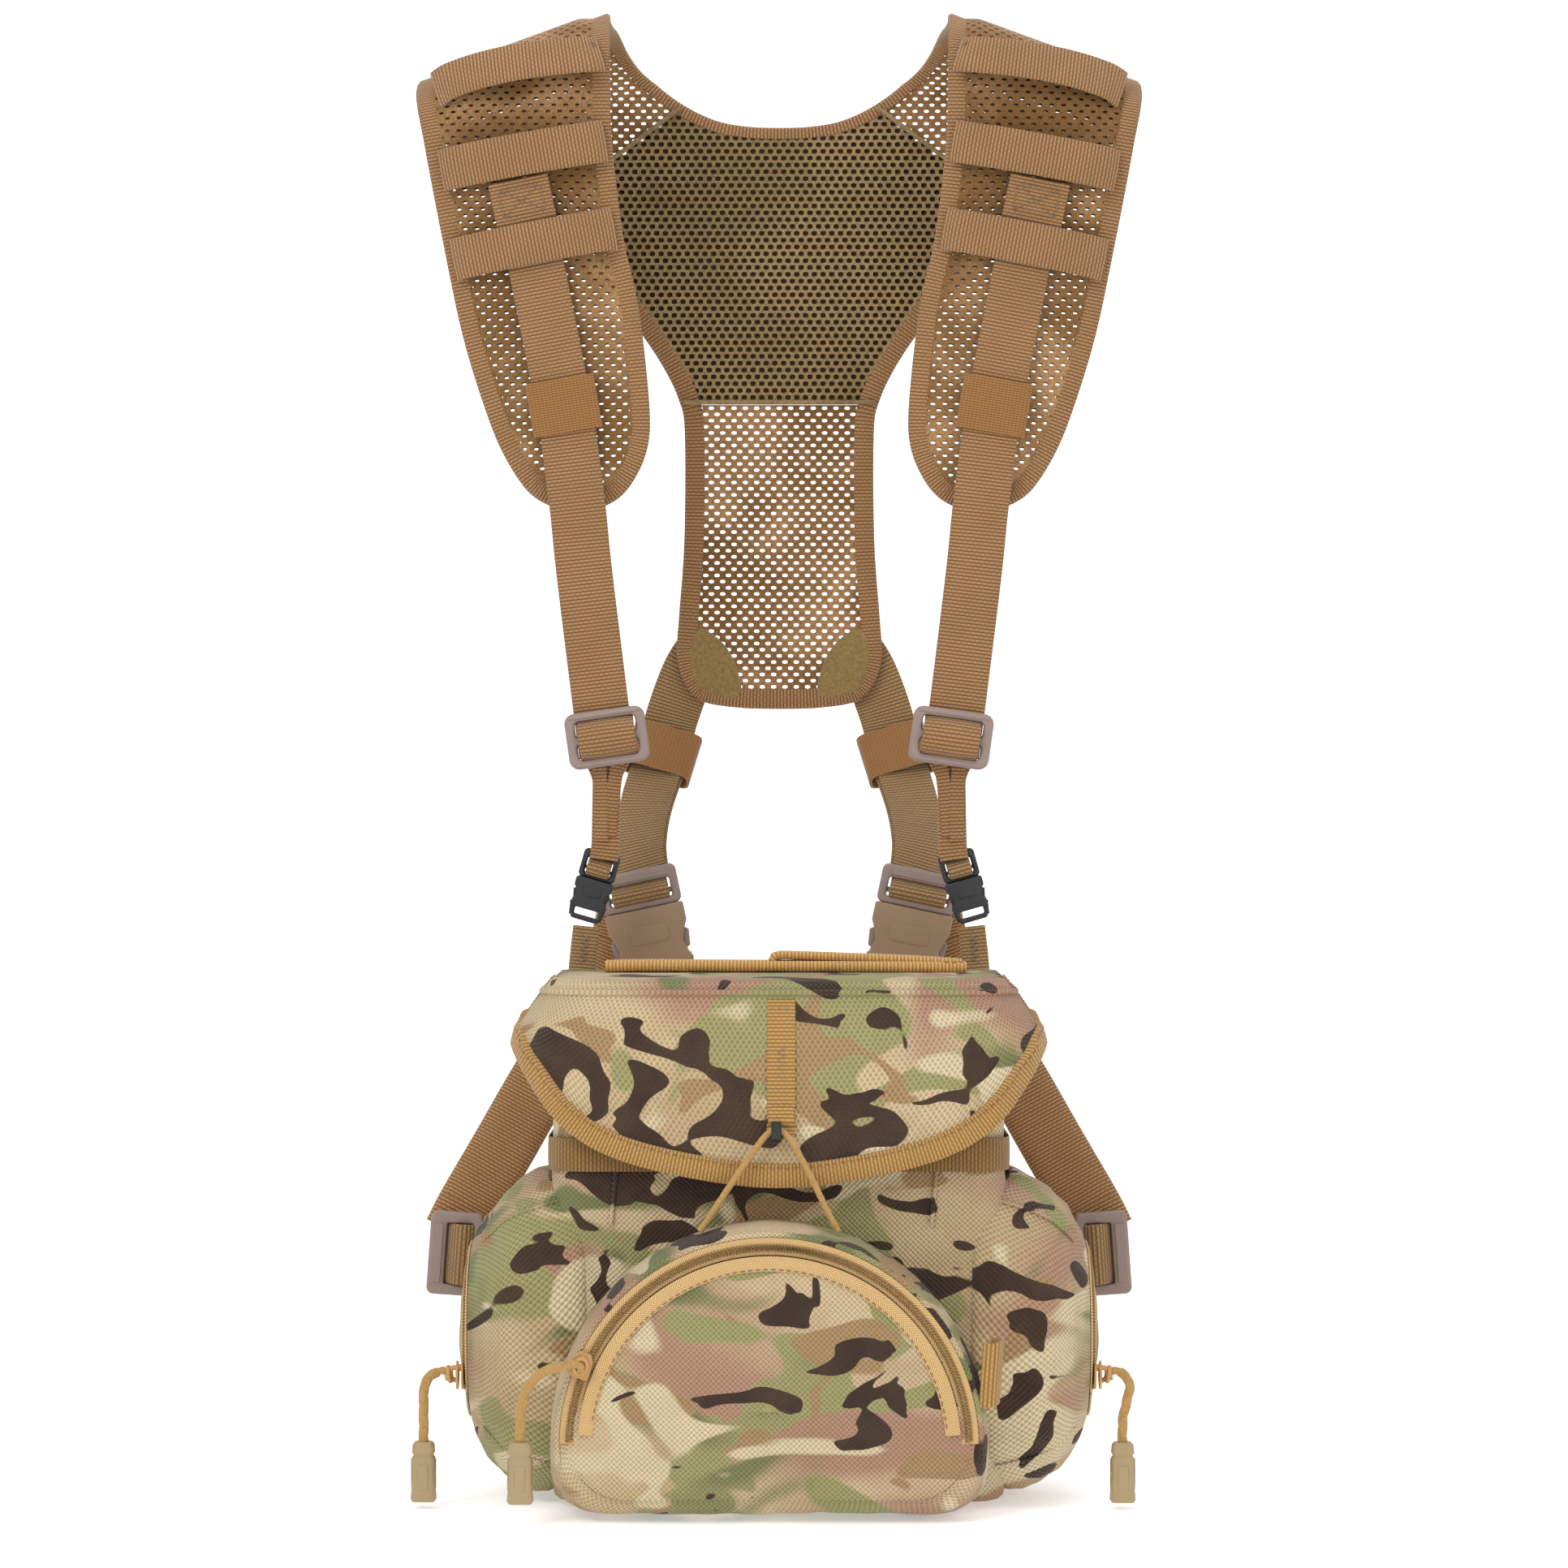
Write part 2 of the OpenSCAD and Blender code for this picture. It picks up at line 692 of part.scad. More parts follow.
main_shell();
foam_liner();
base_board();
back_panel();
body_band();
front_pocket();
front_zipper();
pocket_tab();
side_pockets();
side_zippers();
left_shoulder_pad();
right_shoulder_pad();
pad_bindings();
pad_loops();
shoulder_straps();
shoulder_bridges();
yoke_pad();
back_mesh();
yoke_binding();
lower_back_straps();
folded_tabs();
corner_straps();
side_straps();
left_adjuster();
right_adjuster();
left_pad_keeper();
right_pad_keeper();
left_back_keeper();
right_back_keeper();
left_small_male();
left_small_female();
right_small_male();
right_small_female();
left_mid_male();
left_mid_female();
right_mid_male();
right_mid_female();
left_side_male();
left_side_female();
right_side_male();
right_side_female();
lid_shell();
lid_binding();
lid_tab();
lid_hook();
carry_handle();
bungee_cord();
front_door();
left_door();
right_door();
front_slider();
left_slider();
right_slider();
front_pull_cord();
left_pull_cord();
right_pull_cord();
front_cord_end();
left_cord_end();
right_cord_end();
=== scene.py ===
"""Looks of a binocular harness pack: camouflage shell, hooded lid, zipped pockets and shoulder harness."""

import math

import bmesh
import bpy
import numpy as np
from mathutils import Matrix, Vector, noise


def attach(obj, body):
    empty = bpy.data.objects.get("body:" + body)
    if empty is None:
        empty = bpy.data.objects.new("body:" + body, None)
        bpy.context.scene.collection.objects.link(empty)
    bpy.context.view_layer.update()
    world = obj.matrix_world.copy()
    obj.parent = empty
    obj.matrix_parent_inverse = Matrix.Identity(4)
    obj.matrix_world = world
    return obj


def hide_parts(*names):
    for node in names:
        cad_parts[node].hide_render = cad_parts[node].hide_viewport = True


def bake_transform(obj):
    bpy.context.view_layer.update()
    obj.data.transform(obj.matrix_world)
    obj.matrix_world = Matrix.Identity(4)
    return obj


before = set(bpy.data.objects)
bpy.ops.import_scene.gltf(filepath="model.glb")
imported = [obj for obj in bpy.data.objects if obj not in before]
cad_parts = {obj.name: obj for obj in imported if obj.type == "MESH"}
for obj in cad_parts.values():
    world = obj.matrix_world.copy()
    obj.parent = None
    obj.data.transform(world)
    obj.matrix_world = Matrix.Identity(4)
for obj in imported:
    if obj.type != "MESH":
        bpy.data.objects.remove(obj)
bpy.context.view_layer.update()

MM = 0.001
SIDES = (("left", -1), ("right", 1))

# ---------------------------------------------------------------- driving dimensions, in millimetres
BACK_Y = 10
FRONT_Y = -80
HALF_W = 97
RIM_Z = 208
FACE_Y = FRONT_Y - 36
RING_Y = FACE_Y - 3
FRONT_C = (-4, 29.4)
SIDE_C = (FRONT_Y / 2 - 2, 70)
SIDE_X = 131
WEBBING_W = 25
PAD_Y = 20
BACK_FACE_Y = 123
TURN_R = 30
APEX = (80, 657)
SLOPE = math.radians(20)
PULL_D = 4.4
BUNGEE_D = 2.8
SHARP_ANGLE = math.radians(50)

FRONT_PULL = [(-88.2, -125, 64), (-92, -125.4, 63.6), (-97, -126, 62), (-103, -127, 57),
              (-106, -127, 50), (-107, -127, 42), (-107, -127, 33)]
LEFT_PULL = [(-145.2, -73.5, 55), (-148.4, -75, 53.4), (-150.6, -76.5, 49.5), (-151, -77, 43),
             (-151, -77, 35), (-151, -77, 26)]
RIGHT_PULL = [(145.2, -73.5, 55), (148, -76, 53), (149, -78.5, 48.5), (147.4, -79, 42),
              (146, -79, 34.5), (146, -79, 26)]
BUNGEE = [(-33, -106, 118), (-27, -104, 127), (-20, -101.5, 137.5), (-12, -99.5, 149),
          (-6, -98.8, 157), (-1, -98.7, 160.4), (4, -98.8, 157), (9, -99.5, 149), (15, -101.5, 137.5),
          (20, -104, 127), (25, -106, 118)]
SHOULDER_STRAP = [(115, 16, 569), (111, 16, 550), (106, 16, 525), (100, 16, 495), (95, 16, 468),
                  (90, 16, 430), (87, 16, 401), (81, 16, 352), (76.6, 16, 318)]
LOWER_BACK = [(44, 121, 362), (47.5, 121, 349), (50, 120, 338), (54.5, 112, 319), (61, 94, 297),
              (63.5, 78, 279), (62.5, 70.3, 266)]
SIDE_STRAP = [(69, 73, 247), (72.5, 72.6, 232), (78, 71.4, 219), (88, 65, 203), (107, 49, 172),
              (124, 37, 142), (139, 29.5, 116), (145, 27.4, 104)]
CORNER_STRAP = [(86.2, 23.5, 241.6), (87.6, 21, 228), (88.5, 16, 214), (88.5, 11.4, 196), (88.5, 11.4, 178)]
PAD_LOOPS = [((82, 631), (150, 618)), ((80, 592), (147, 580)), ((76, 553), (142, 540))]
BUCKLES = {"small": ((82.2, 25, 262.5), -16), "mid": ((61.8, 63, 248.5), 12), "side": ((133, 20, 95), 86)}


# ---------------------------------------------------------------- numbers and curves
def smooth(a, b, x):
    t = np.clip((x - a) / (b - a), 0, 1)
    return t * t * (3 - 2 * t)


def unit(v):
    return v / np.maximum(np.linalg.norm(v, axis=-1, keepdims=True), 1e-9)


def catmull(points, steps=6, closed=False):
    """A smooth dense line through the points."""
    p = np.array(points, float)
    n = len(p)
    if closed:
        idx = ([(i - 1) % n for i in range(n)], range(n), [(i + 1) % n for i in range(n)],
               [(i + 2) % n for i in range(n)])
    else:
        idx = ([max(i - 1, 0) for i in range(n - 1)], range(n - 1), range(1, n),
               [min(i + 2, n - 1) for i in range(n - 1)])
    a, b, c, d = (p[list(k)] for k in idx)
    t = (np.arange(steps) / steps)[None, :, None]
    a, b, c, d = (k[:, None] for k in (a, b, c, d))
    q = 0.5 * (2 * b + (c - a) * t + (2 * a - 5 * b + 4 * c - d) * t**2 + (3 * b - a - 3 * c + d) * t**3)
    q = q.reshape(-1, p.shape[1])
    return q if closed else np.vstack([q, p[-1]])


def walked(points):
    """Distance along a line at each of its points."""
    return np.concatenate([[0], np.cumsum(np.linalg.norm(np.diff(points, axis=0), axis=1))])


def resample(points, step):
    s = walked(points)
    at = np.linspace(0, s[-1], max(2, int(round(s[-1] / step)) + 1))
    return np.stack([np.interp(at, s, points[:, k]) for k in range(points.shape[1])], 1)


def round_angles(n):
    """Evenly spaced angles once round."""
    return np.linspace(0, 2 * math.pi, n, endpoint=False)


def squared(v, power):
    """A cosine or sine flattened towards its ends, for rounded squares."""
    return np.sign(v) * np.abs(v) ** power


def grid_uv(along, across):
    """UVs for a grid, from its distances along and across."""
    return np.stack(np.meshgrid(along, across, indexing="ij"), -1)


def inside(p, outline):
    """Which of the points lie in a closed outline."""
    a, b = outline, np.roll(outline, -1, axis=0)
    x, z = p[:, :1], p[:, 1:2]
    cross = (a[:, 1] > z) != (b[:, 1] > z)
    rise = np.where(b[:, 1] == a[:, 1], 1e-9, b[:, 1] - a[:, 1])
    at = a[:, 0] + (z - a[:, 1]) / rise * (b[:, 0] - a[:, 0])
    return (np.sum(cross & (x < at), axis=1) % 2) == 1


def edge_distance(p, outline):
    a, b = outline, np.roll(outline, -1, axis=0)
    d = b - a
    rel = p[:, None] - a[None]
    t = np.clip((rel * d).sum(2) / np.maximum((d * d).sum(1), 1e-9), 0, 1)
    return np.linalg.norm(rel - t[..., None] * d, axis=2).min(1)


def wrinkle(p, scale, seed=0.0):
    """Soft folds between -1 and 1 at each point."""
    return np.array([noise.noise(Vector((v[0] / scale, v[1] / scale, v[2] / scale + seed))) for v in p])


# ---------------------------------------------------------------- mesh parts: (points, faces, corner UVs)
def grid_part(points, around=False, uv=None, caps=False):
    """A sheet of four-sided faces over a grid of points, its UVs in millimetres."""
    n, m = points.shape[:2]
    cols = m if around else m - 1
    wide = np.concatenate([points, points[:, :1]], 1) if around else points
    if uv is None:
        along = np.concatenate([[0], np.cumsum(np.linalg.norm(np.diff(wide, axis=0), axis=2).mean(1))])
        across = np.concatenate([[0], np.cumsum(np.linalg.norm(np.diff(wide, axis=1), axis=2).mean(0))])
        uv = grid_uv(along, across)
    i, j = (g.ravel() for g in np.meshgrid(np.arange(n - 1), np.arange(cols), indexing="ij"))
    k = (j + 1) % m
    faces = np.stack([i * m + j, i * m + k, (i + 1) * m + k, (i + 1) * m + j], 1).tolist()
    loops = np.stack([uv[i, j], uv[i, j + 1], uv[i + 1, j + 1], uv[i + 1, j]], 1).tolist()
    if caps:
        for row in (0, n - 1):
            faces.append([row * m + q for q in range(m)])
            loops.append([[0.3 * q, 0.0] for q in range(m)])
    return points.reshape(-1, 3), faces, loops


def solid_part(points, uv=None):
    """A grid that closes round its rows, with both ends capped."""
    return grid_part(points, around=True, uv=uv, caps=True)


def shell_part(outer, inner):
    """Two matching grids joined round their free edges into one closed shell."""
    joined = np.concatenate([outer, inner[:, ::-1]], 1)
    points, faces, loops = grid_part(joined, around=True)
    n, m = joined.shape[:2]
    half = m // 2
    for row in (0, n - 1):
        for q in range(half - 1):
            a, b = row * m + q, row * m + q + 1
            c, d = row * m + m - 2 - q, row * m + m - 1 - q
            faces.append([a, b, c, d])
            loops.append([[q, 0.0], [q + 1, 0.0], [q + 1, 1.0], [q, 1.0]])
    return points, faces, loops


def frames(path, facing):
    """Tangent, width and face directions along a path."""
    t = unit(np.gradient(path, axis=0))
    w = unit(np.cross(t, np.broadcast_to(np.array(facing, float), path.shape)))
    return t, w, np.cross(w, t)


def ribbon_part(path, width, thickness, facing=(0, -1, 0), step=2.0, crown=0.0, across=None):
    """A flat woven strap along a path, with rounded edges; u runs along it and v across it."""
    p = resample(catmull(path, 8), step)
    t, w, f = frames(p, facing)
    if across is not None:
        w = np.broadcast_to(np.array(across, float), p.shape)
        f = unit(np.cross(w, t))
    r = thickness / 2
    edge = width / 2 - r
    arc = np.linspace(-90, 90, 5)
    cs = [(edge + r * math.cos(math.radians(a)), r * math.sin(math.radians(a))) for a in arc]
    cs += [(x, r) for x in (edge * 0.5, 0, -edge * 0.5)]
    cs += [(-edge - r * math.cos(math.radians(a)), -r * math.sin(math.radians(a))) for a in arc]
    cs += [(x, -r) for x in (-edge * 0.5, 0, edge * 0.5)]
    cs = np.array(cs)
    cs[:, 1] += crown * (1 - (cs[:, 0] / (width / 2)) ** 2)
    pts = p[:, None] + cs[None, :, :1] * w[:, None] + cs[None, :, 1:] * f[:, None]
    around = np.concatenate([cs[:, 0], cs[:1, 0]]) + width / 2
    uv = grid_uv(walked(p), around)
    return solid_part(pts, uv)


def tube_part(path, radius, sides=10, braid=0.0, facing=(0.3, -1, 0.2)):
    """A round cord; radius may vary along it, and braid raises crossing strands."""
    p = np.array(path, float)
    _, w, f = frames(p, facing)
    a = round_angles(sides)
    r = np.broadcast_to(np.asarray(radius, float), (len(p),))[:, None]
    if braid:
        s = walked(p)[:, None] / r
        r = r * (1 + braid * (np.maximum(np.sin(3 * a + s * 1.5), np.sin(3 * a - s * 1.5)) - 0.5))
    r = np.broadcast_to(r, (len(p), sides))
    pts = p[:, None] + (np.cos(a) * r)[..., None] * w[:, None] + (np.sin(a) * r)[..., None] * f[:, None]
    return solid_part(pts)


def block_part(centre, half, bevel):
    """A box with its edges bevelled."""
    bm = bmesh.new()
    bmesh.ops.create_cube(bm, size=1)
    bmesh.ops.scale(bm, vec=Vector([2 * h for h in half]), verts=bm.verts)
    bmesh.ops.bevel(bm, geom=bm.edges, offset=bevel, segments=2, affect="EDGES", profile=0.5)
    pts = np.array([v.co for v in bm.verts])
    faces = [[v.index for v in f.verts] for f in bm.faces]
    bm.free()
    pts = pts + np.array(centre, float)
    return pts, faces, [[[pts[i][0], pts[i][2]] for i in f] for f in faces]


def round_rect(x0, y0, x1, y1, r, steps=5):
    """Corner points of a rectangle with round corners."""
    out = []
    for cx, cy, a0 in ((x1 - r, y1 - r, 0), (x0 + r, y1 - r, 90), (x0 + r, y0 + r, 180),
                       (x1 - r, y0 + r, 270)):
        for k in range(steps + 1):
            a = math.radians(a0 + 90 * k / steps)
            out.append((cx + r * math.cos(a), cy + r * math.sin(a)))
    return out


def plate_part(outline, holes, thickness, bevel, at=(0, 0, 0)):
    """A moulded plate in X and Y with rounded edges and holes through it."""
    curve = bpy.data.curves.new("plate", "CURVE")
    curve.dimensions = "2D"
    curve.fill_mode = "BOTH"
    curve.extrude = thickness / 2 - bevel
    curve.bevel_depth = bevel
    curve.bevel_resolution = 2
    curve.offset = -bevel
    for line in [outline, *holes]:
        spline = curve.splines.new("POLY")
        spline.points.add(len(line) - 1)
        for point, (x, y) in zip(spline.points, line):
            point.co = (x, y, 0, 1)
        spline.use_cyclic_u = True
    obj = bpy.data.objects.new("plate", curve)
    bpy.context.scene.collection.objects.link(obj)
    mesh = bpy.data.meshes.new_from_object(obj.evaluated_get(bpy.context.evaluated_depsgraph_get()))
    bm = bmesh.new()
    bm.from_mesh(mesh)
    bmesh.ops.remove_doubles(bm, verts=bm.verts, dist=0.001)
    bm.verts.index_update()
    pts = np.array([v.co for v in bm.verts]) + np.array(at, float)
    faces = [[v.index for v in f.verts] for f in bm.faces]
    bm.free()
    bpy.data.meshes.remove(mesh)
    bpy.data.objects.remove(obj)
    bpy.data.curves.remove(curve)
    return pts, faces, [[[pts[i][0], pts[i][1]] for i in f] for f in faces]


def moved(part, matrix):
    pts, faces, loops = part
    m = np.array(matrix)
    return pts @ m[:3, :3].T + m[:3, 3], faces, loops


def turn(degrees, axis):
    return Matrix.Rotation(math.radians(degrees), 4, axis)


def mirrored(part, side):
    pts, faces, loops = part
    return pts * np.array([side, 1, 1]), faces, loops


def stitches(path, facing=(0, -1, 0), pitch=3.0, length=2.1, radius=0.3, lift=0.2):
    """A row of short thread stitches that lie on a surface."""
    p = resample(np.array(path, float), 0.5)
    s = walked(p)
    out = []
    f = unit(np.array(facing, float))
    for k in range(int(s[-1] / pitch)):
        ends = [k * pitch + 0.4 + q * length for q in (0, 0.3, 0.7, 1)]
        line = np.stack([np.interp(ends, s, p[:, c]) for c in range(3)], 1)
        line = line + f * np.array([-0.1, lift, lift, -0.1])[:, None]
        out.append(tube_part(line, [radius * 0.5, radius, radius, radius * 0.5], sides=5, facing=facing))
    return out


def zigzag(path, across, half, facing, pitch=1.6):
    """A bar-tack: thread that goes back and forth across a path."""
    p = resample(np.array(path, float), pitch)
    side = np.where(np.arange(len(p)) % 2 == 0, 1, -1)[:, None] * half * unit(np.array(across, float))
    line = p + side + 0.25 * unit(np.array(facing, float))
    return [tube_part(line, 0.3, sides=5, facing=facing)]


def box_stitch(centre, a, b, half_a, half_b, facing):
    """A rectangle of stitches with a cross through it."""
    c, a, b = (np.array(v, float) for v in (centre, a, b))
    q = [c - a * half_a - b * half_b, c + a * half_a - b * half_b, c + a * half_a + b * half_b,
         c - a * half_a + b * half_b]
    out = []
    for i, j in ((0, 1), (1, 2), (2, 3), (3, 0), (0, 2), (1, 3)):
        out += stitches([q[i], q[j]], facing)
    return out


def piece(name, parts, material, body="pack", nodes=(), side=1, flat=False):
    """One object from mesh parts in millimetres, riding on a body and standing for CAD nodes."""
    points, faces, loops = [], [], []
    start = 0
    for pts, fcs, lps in parts:
        points.append(pts * np.array([side, 1, 1]))
        faces += [[i + start for i in f] for f in fcs]
        loops += lps
        start += len(pts)
    mesh = bpy.data.meshes.new(name)
    mesh.from_pydata((np.vstack(points) * MM).tolist(), [], faces)
    layer = mesh.uv_layers.new(name="UVMap")
    flat_uv = [c * MM for loop in loops for corner in loop for c in corner]
    layer.data.foreach_set("uv", flat_uv)
    if not flat:
        mesh.shade_smooth()
        mesh.set_sharp_from_angle(angle=SHARP_ANGLE)
    mesh.materials.append(material)
    bm = bmesh.new()
    bm.from_mesh(mesh)
    bmesh.ops.recalc_face_normals(bm, faces=bm.faces)
    bm.to_mesh(mesh)
    bm.free()
    mesh.validate()
    obj = bpy.data.objects.new(name, mesh)
    bpy.context.scene.collection.objects.link(obj)
    if body:
        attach(obj, body)
    if nodes:
        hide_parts(*nodes)
    return obj


def once(side, node):
    """The CAD node both sides share, for the right side's piece only."""
    return (node,) if side > 0 else ()


# ---------------------------------------------------------------- materials
def rgb(code):
    """A linear colour from a hex code."""
    out = []
    for k in (1, 3, 5):
        c = int(code[k:k + 2], 16) / 255
        out.append(c / 12.92 if c <= 0.04045 else ((c + 0.055) / 1.055) ** 2.4)
    return (*out, 1.0)


class Shader:
    """Builds one material; each method adds a node and returns its output."""

    def __init__(self, name, roughness=0.8, sheen=0.0, specular=0.3):
        self.material = bpy.data.materials.new(name)
        self.material.use_nodes = True
        self.tree = self.material.node_tree
        self.base = self.tree.nodes["Principled BSDF"]
        self.base.inputs["Roughness"].default_value = roughness
        self.base.inputs["Specular IOR Level"].default_value = specular
        self.base.inputs["Sheen Weight"].default_value = sheen
        coords = self.tree.nodes.new("ShaderNodeTexCoord")
        self.place = coords.outputs["Object"]
        self.uv = coords.outputs["UV"]

    def put(self, socket, value):
        if isinstance(value, bpy.types.NodeSocket):
            self.tree.links.new(value, socket)
        else:
            socket.default_value = value

    def math(self, operation, a, b=0.0, c=0.0):
        node = self.tree.nodes.new("ShaderNodeMath")
        node.operation = operation
        for socket, value in zip(node.inputs, (a, b, c)):
            self.put(socket, value)
        return node.outputs[0]

    def shift(self, vector, scale=(1, 1, 1), offset=(0, 0, 0)):
        node = self.tree.nodes.new("ShaderNodeMapping")
        self.put(node.inputs["Vector"], vector)
        node.inputs["Scale"].default_value = scale
        node.inputs["Location"].default_value = offset
        return node.outputs[0]

    def split(self, vector):
        node = self.tree.nodes.new("ShaderNodeSeparateXYZ")
        self.put(node.inputs[0], vector)
        return node.outputs

    def noise(self, vector, scale, detail=2.0, distortion=0.0):
        node = self.tree.nodes.new("ShaderNodeTexNoise")
        self.put(node.inputs["Vector"], vector)
        node.inputs["Scale"].default_value = scale
        node.inputs["Detail"].default_value = detail
        node.inputs["Distortion"].default_value = distortion
        return node.outputs[0]

    def step(self, value, low, high, to=(0.0, 1.0)):
        node = self.tree.nodes.new("ShaderNodeMapRange")
        node.interpolation_type = "SMOOTHSTEP"
        self.put(node.inputs["Value"], value)
        for name, number in (("From Min", low), ("From Max", high), ("To Min", to[0]), ("To Max", to[1])):
            node.inputs[name].default_value = number
        return node.outputs["Result"]

    def mix(self, factor, a, b):
        node = self.tree.nodes.new("ShaderNodeMix")
        node.data_type = "RGBA"
        for socket, value in zip((node.inputs[0], node.inputs[6], node.inputs[7]), (factor, a, b)):
            self.put(socket, value)
        return node.outputs[2]

    def finish(self, colour, height=None, distance=0.0002, strength=0.6):
        self.put(self.base.inputs["Base Color"], colour)
        if height is not None:
            node = self.tree.nodes.new("ShaderNodeBump")
            node.inputs["Distance"].default_value = distance
            node.inputs["Strength"].default_value = strength
            self.put(node.inputs["Height"], height)
            self.put(self.base.inputs["Normal"], node.outputs[0])
        return self.material


def weave(shader, pitch):
    """Plain weave bumps, from -1 to 1."""
    u, v, _ = shader.split(shader.uv)
    k = 2 * math.pi / pitch
    a = shader.math("SINE", shader.math("MULTIPLY", u, k))
    b = shader.math("SINE", shader.math("MULTIPLY", v, k))
    return shader.math("MULTIPLY", a, b)


def camo_colour(shader):
    """Soft tan, green and brown fields with small crisp dark and pale blobs, wider than tall."""
    p = shader.shift(shader.place, (1, 1, 1.5))
    base = shader.mix(shader.step(shader.noise(p, 10, 2, 0.6), 0.4, 0.62), rgb("#c9b085"), rgb("#dcc59c"))
    layers = [
        ((3.1, 0, 0), 8, 0.8, 0.45, 0.60, "#b88f76"),
        ((0, 5.7, 1.3), 15, 1.0, 0.555, 0.585, "#a5a16c"),
        ((7.3, 2.2, 0), 13, 1.2, 0.62, 0.70, "#7f8455"),
        ((1.9, 8.8, 3), 19, 1.0, 0.60, 0.62, "#b09066"),
        ((4.4, 1.1, 9), 19, 1.0, 0.59, 0.64, "#e4d3ac"),
    ]
    for offset, scale, twist, low, high, code in layers:
        mask = shader.step(shader.noise(shader.shift(p, offset=offset), scale, 1.2, twist), low, high)
        base = shader.mix(mask, base, rgb(code))
    blobs = shader.noise(shader.shift(p, offset=(6, 6, 2)), 30, 0.6, 1.3)
    field = shader.noise(shader.shift(p, offset=(2, 9, 4)), 9, 0.0, 0.4)
    dark = shader.step(shader.math("MULTIPLY_ADD", field, 0.35, blobs), 0.830, 0.840)
    return shader.mix(dark, base, rgb("#3d2c24"))


def camo_fabric():
    s = Shader("camo_fabric", 0.85, 0.15, 0.2)
    w = weave(s, 0.0023)
    # Darker in the weave's hollows: painted shade in the low threads, driven by the same weave as the bump.
    tone = s.mix(s.step(w, -0.9, 0.6, (0.42, 0.0)), camo_colour(s), rgb("#3f3022"))
    tone = s.mix(s.step(s.noise(s.place, 60, 3), 0.35, 0.7, (0.0, 0.10)), tone, rgb("#8c7150"))
    return s.finish(tone, w, 0.0005, 0.9)


def webbing(name, light, dark):
    """Ribbed webbing: rows across the strap, each row of short raised threads."""
    pitch, cell = 0.0016, 0.0024
    s = Shader(name, 0.75, 0.2, 0.25)
    u, v, _ = s.split(s.uv)
    row = s.math("DIVIDE", u, pitch)
    rib = s.math("ABSOLUTE", s.math("SINE", s.math("MULTIPLY", row, math.pi)))
    offset = s.math("MULTIPLY", s.math("FLOOR", row), 0.5)
    thread = s.math("ADD", s.math("DIVIDE", v, cell), offset)
    thread = s.math("ABSOLUTE", s.math("SINE", s.math("MULTIPLY", thread, math.pi)))
    height = s.math("MULTIPLY", rib, s.math("MULTIPLY_ADD", thread, 0.4, 0.6))
    # Dark in the grooves and pale on the raised threads: painted shade and painted highlight from the rib
    # height.
    tone = s.mix(s.step(height, 0.1, 0.9), rgb(dark), rgb(light))
    tone = s.mix(s.step(s.noise(s.place, 45, 3), 0.35, 0.7, (0.0, 0.14)), tone, rgb(dark))
    return s.finish(tone, height, 0.0005, 0.8)


def elastic():
    s = Shader("elastic", 0.7, 0.25, 0.25)
    u, v, _ = s.split(s.uv)
    rib = s.math("ABSOLUTE", s.math("SINE", s.math("MULTIPLY", u, math.pi / 0.0011)))
    knit = s.math("SINE", s.math("MULTIPLY", v, 2 * math.pi / 0.0016))
    height = s.math("MULTIPLY_ADD", knit, 0.2, rib)
    # Paler on the rib tops and darker between them: painted highlight and painted shade from the rib height.
    return s.finish(s.mix(s.step(height, 0.1, 1.0), rgb("#734b23"), rgb("#996c39")), height, 0.0003, 0.7)


def knit(name, tone_of):
    s = Shader(name, 0.85, 0.2, 0.2)
    p = s.noise(s.place, 900, 2)
    tone = s.mix(s.step(p, 0.35, 0.65, (0.0, 0.35)), tone_of(s), rgb("#3e2c18"))
    return s.finish(tone, p, 0.0003, 0.6)


def mesh_tone(s):
    return s.mix(s.step(s.noise(s.place, 24, 2, 0.6), 0.38, 0.66), rgb("#7c5930"), rgb("#a88157"))


def spacer_tone(s):
    return s.mix(s.step(s.noise(s.place, 20, 2), 0.4, 0.7), rgb("#978059"), rgb("#85704b"))


def moulded(name, code, roughness=0.5, worn="#b7a593"):
    """Grained plastic or paint, rubbed a little paler in places."""
    s = Shader(name, roughness, 0.0, 0.45)
    grain = s.noise(s.place, 1500, 2)
    rubbed = s.step(s.noise(s.place, 70, 4), 0.55, 0.8, (0.0, 0.25))
    return s.finish(s.mix(rubbed, rgb(code), rgb(worn)), grain, 0.0001, 0.25)


def twill():
    """Zipper tape and trim with a herringbone weave."""
    s = Shader("gold_twill", 0.75, 0.2, 0.25)
    u, v, _ = s.split(s.uv)
    fold = s.math("ABSOLUTE", s.math("SUBTRACT", v, 0.0035))
    diagonal = s.math("SINE", s.math("MULTIPLY", s.math("ADD", u, fold), 2 * math.pi / 0.0012))
    # Pale and dark stripes follow the diagonal ribs of the bump: painted highlight and painted shade on the
    # weave.
    return s.finish(s.mix(s.step(diagonal, -1, 1), rgb("#b48c54"), rgb("#dcbb87")), diagonal, 0.0002, 0.6)


def plain(name, code, roughness=0.7, bump=400, distance=0.0002, sheen=0.0):
    s = Shader(name, roughness, sheen, 0.25)
    n = s.noise(s.place, bump, 3)
    return s.finish(s.mix(s.step(n, 0.3, 0.7, (0.0, 0.3)), rgb(code), rgb("#20180f")), n, distance, 0.5)


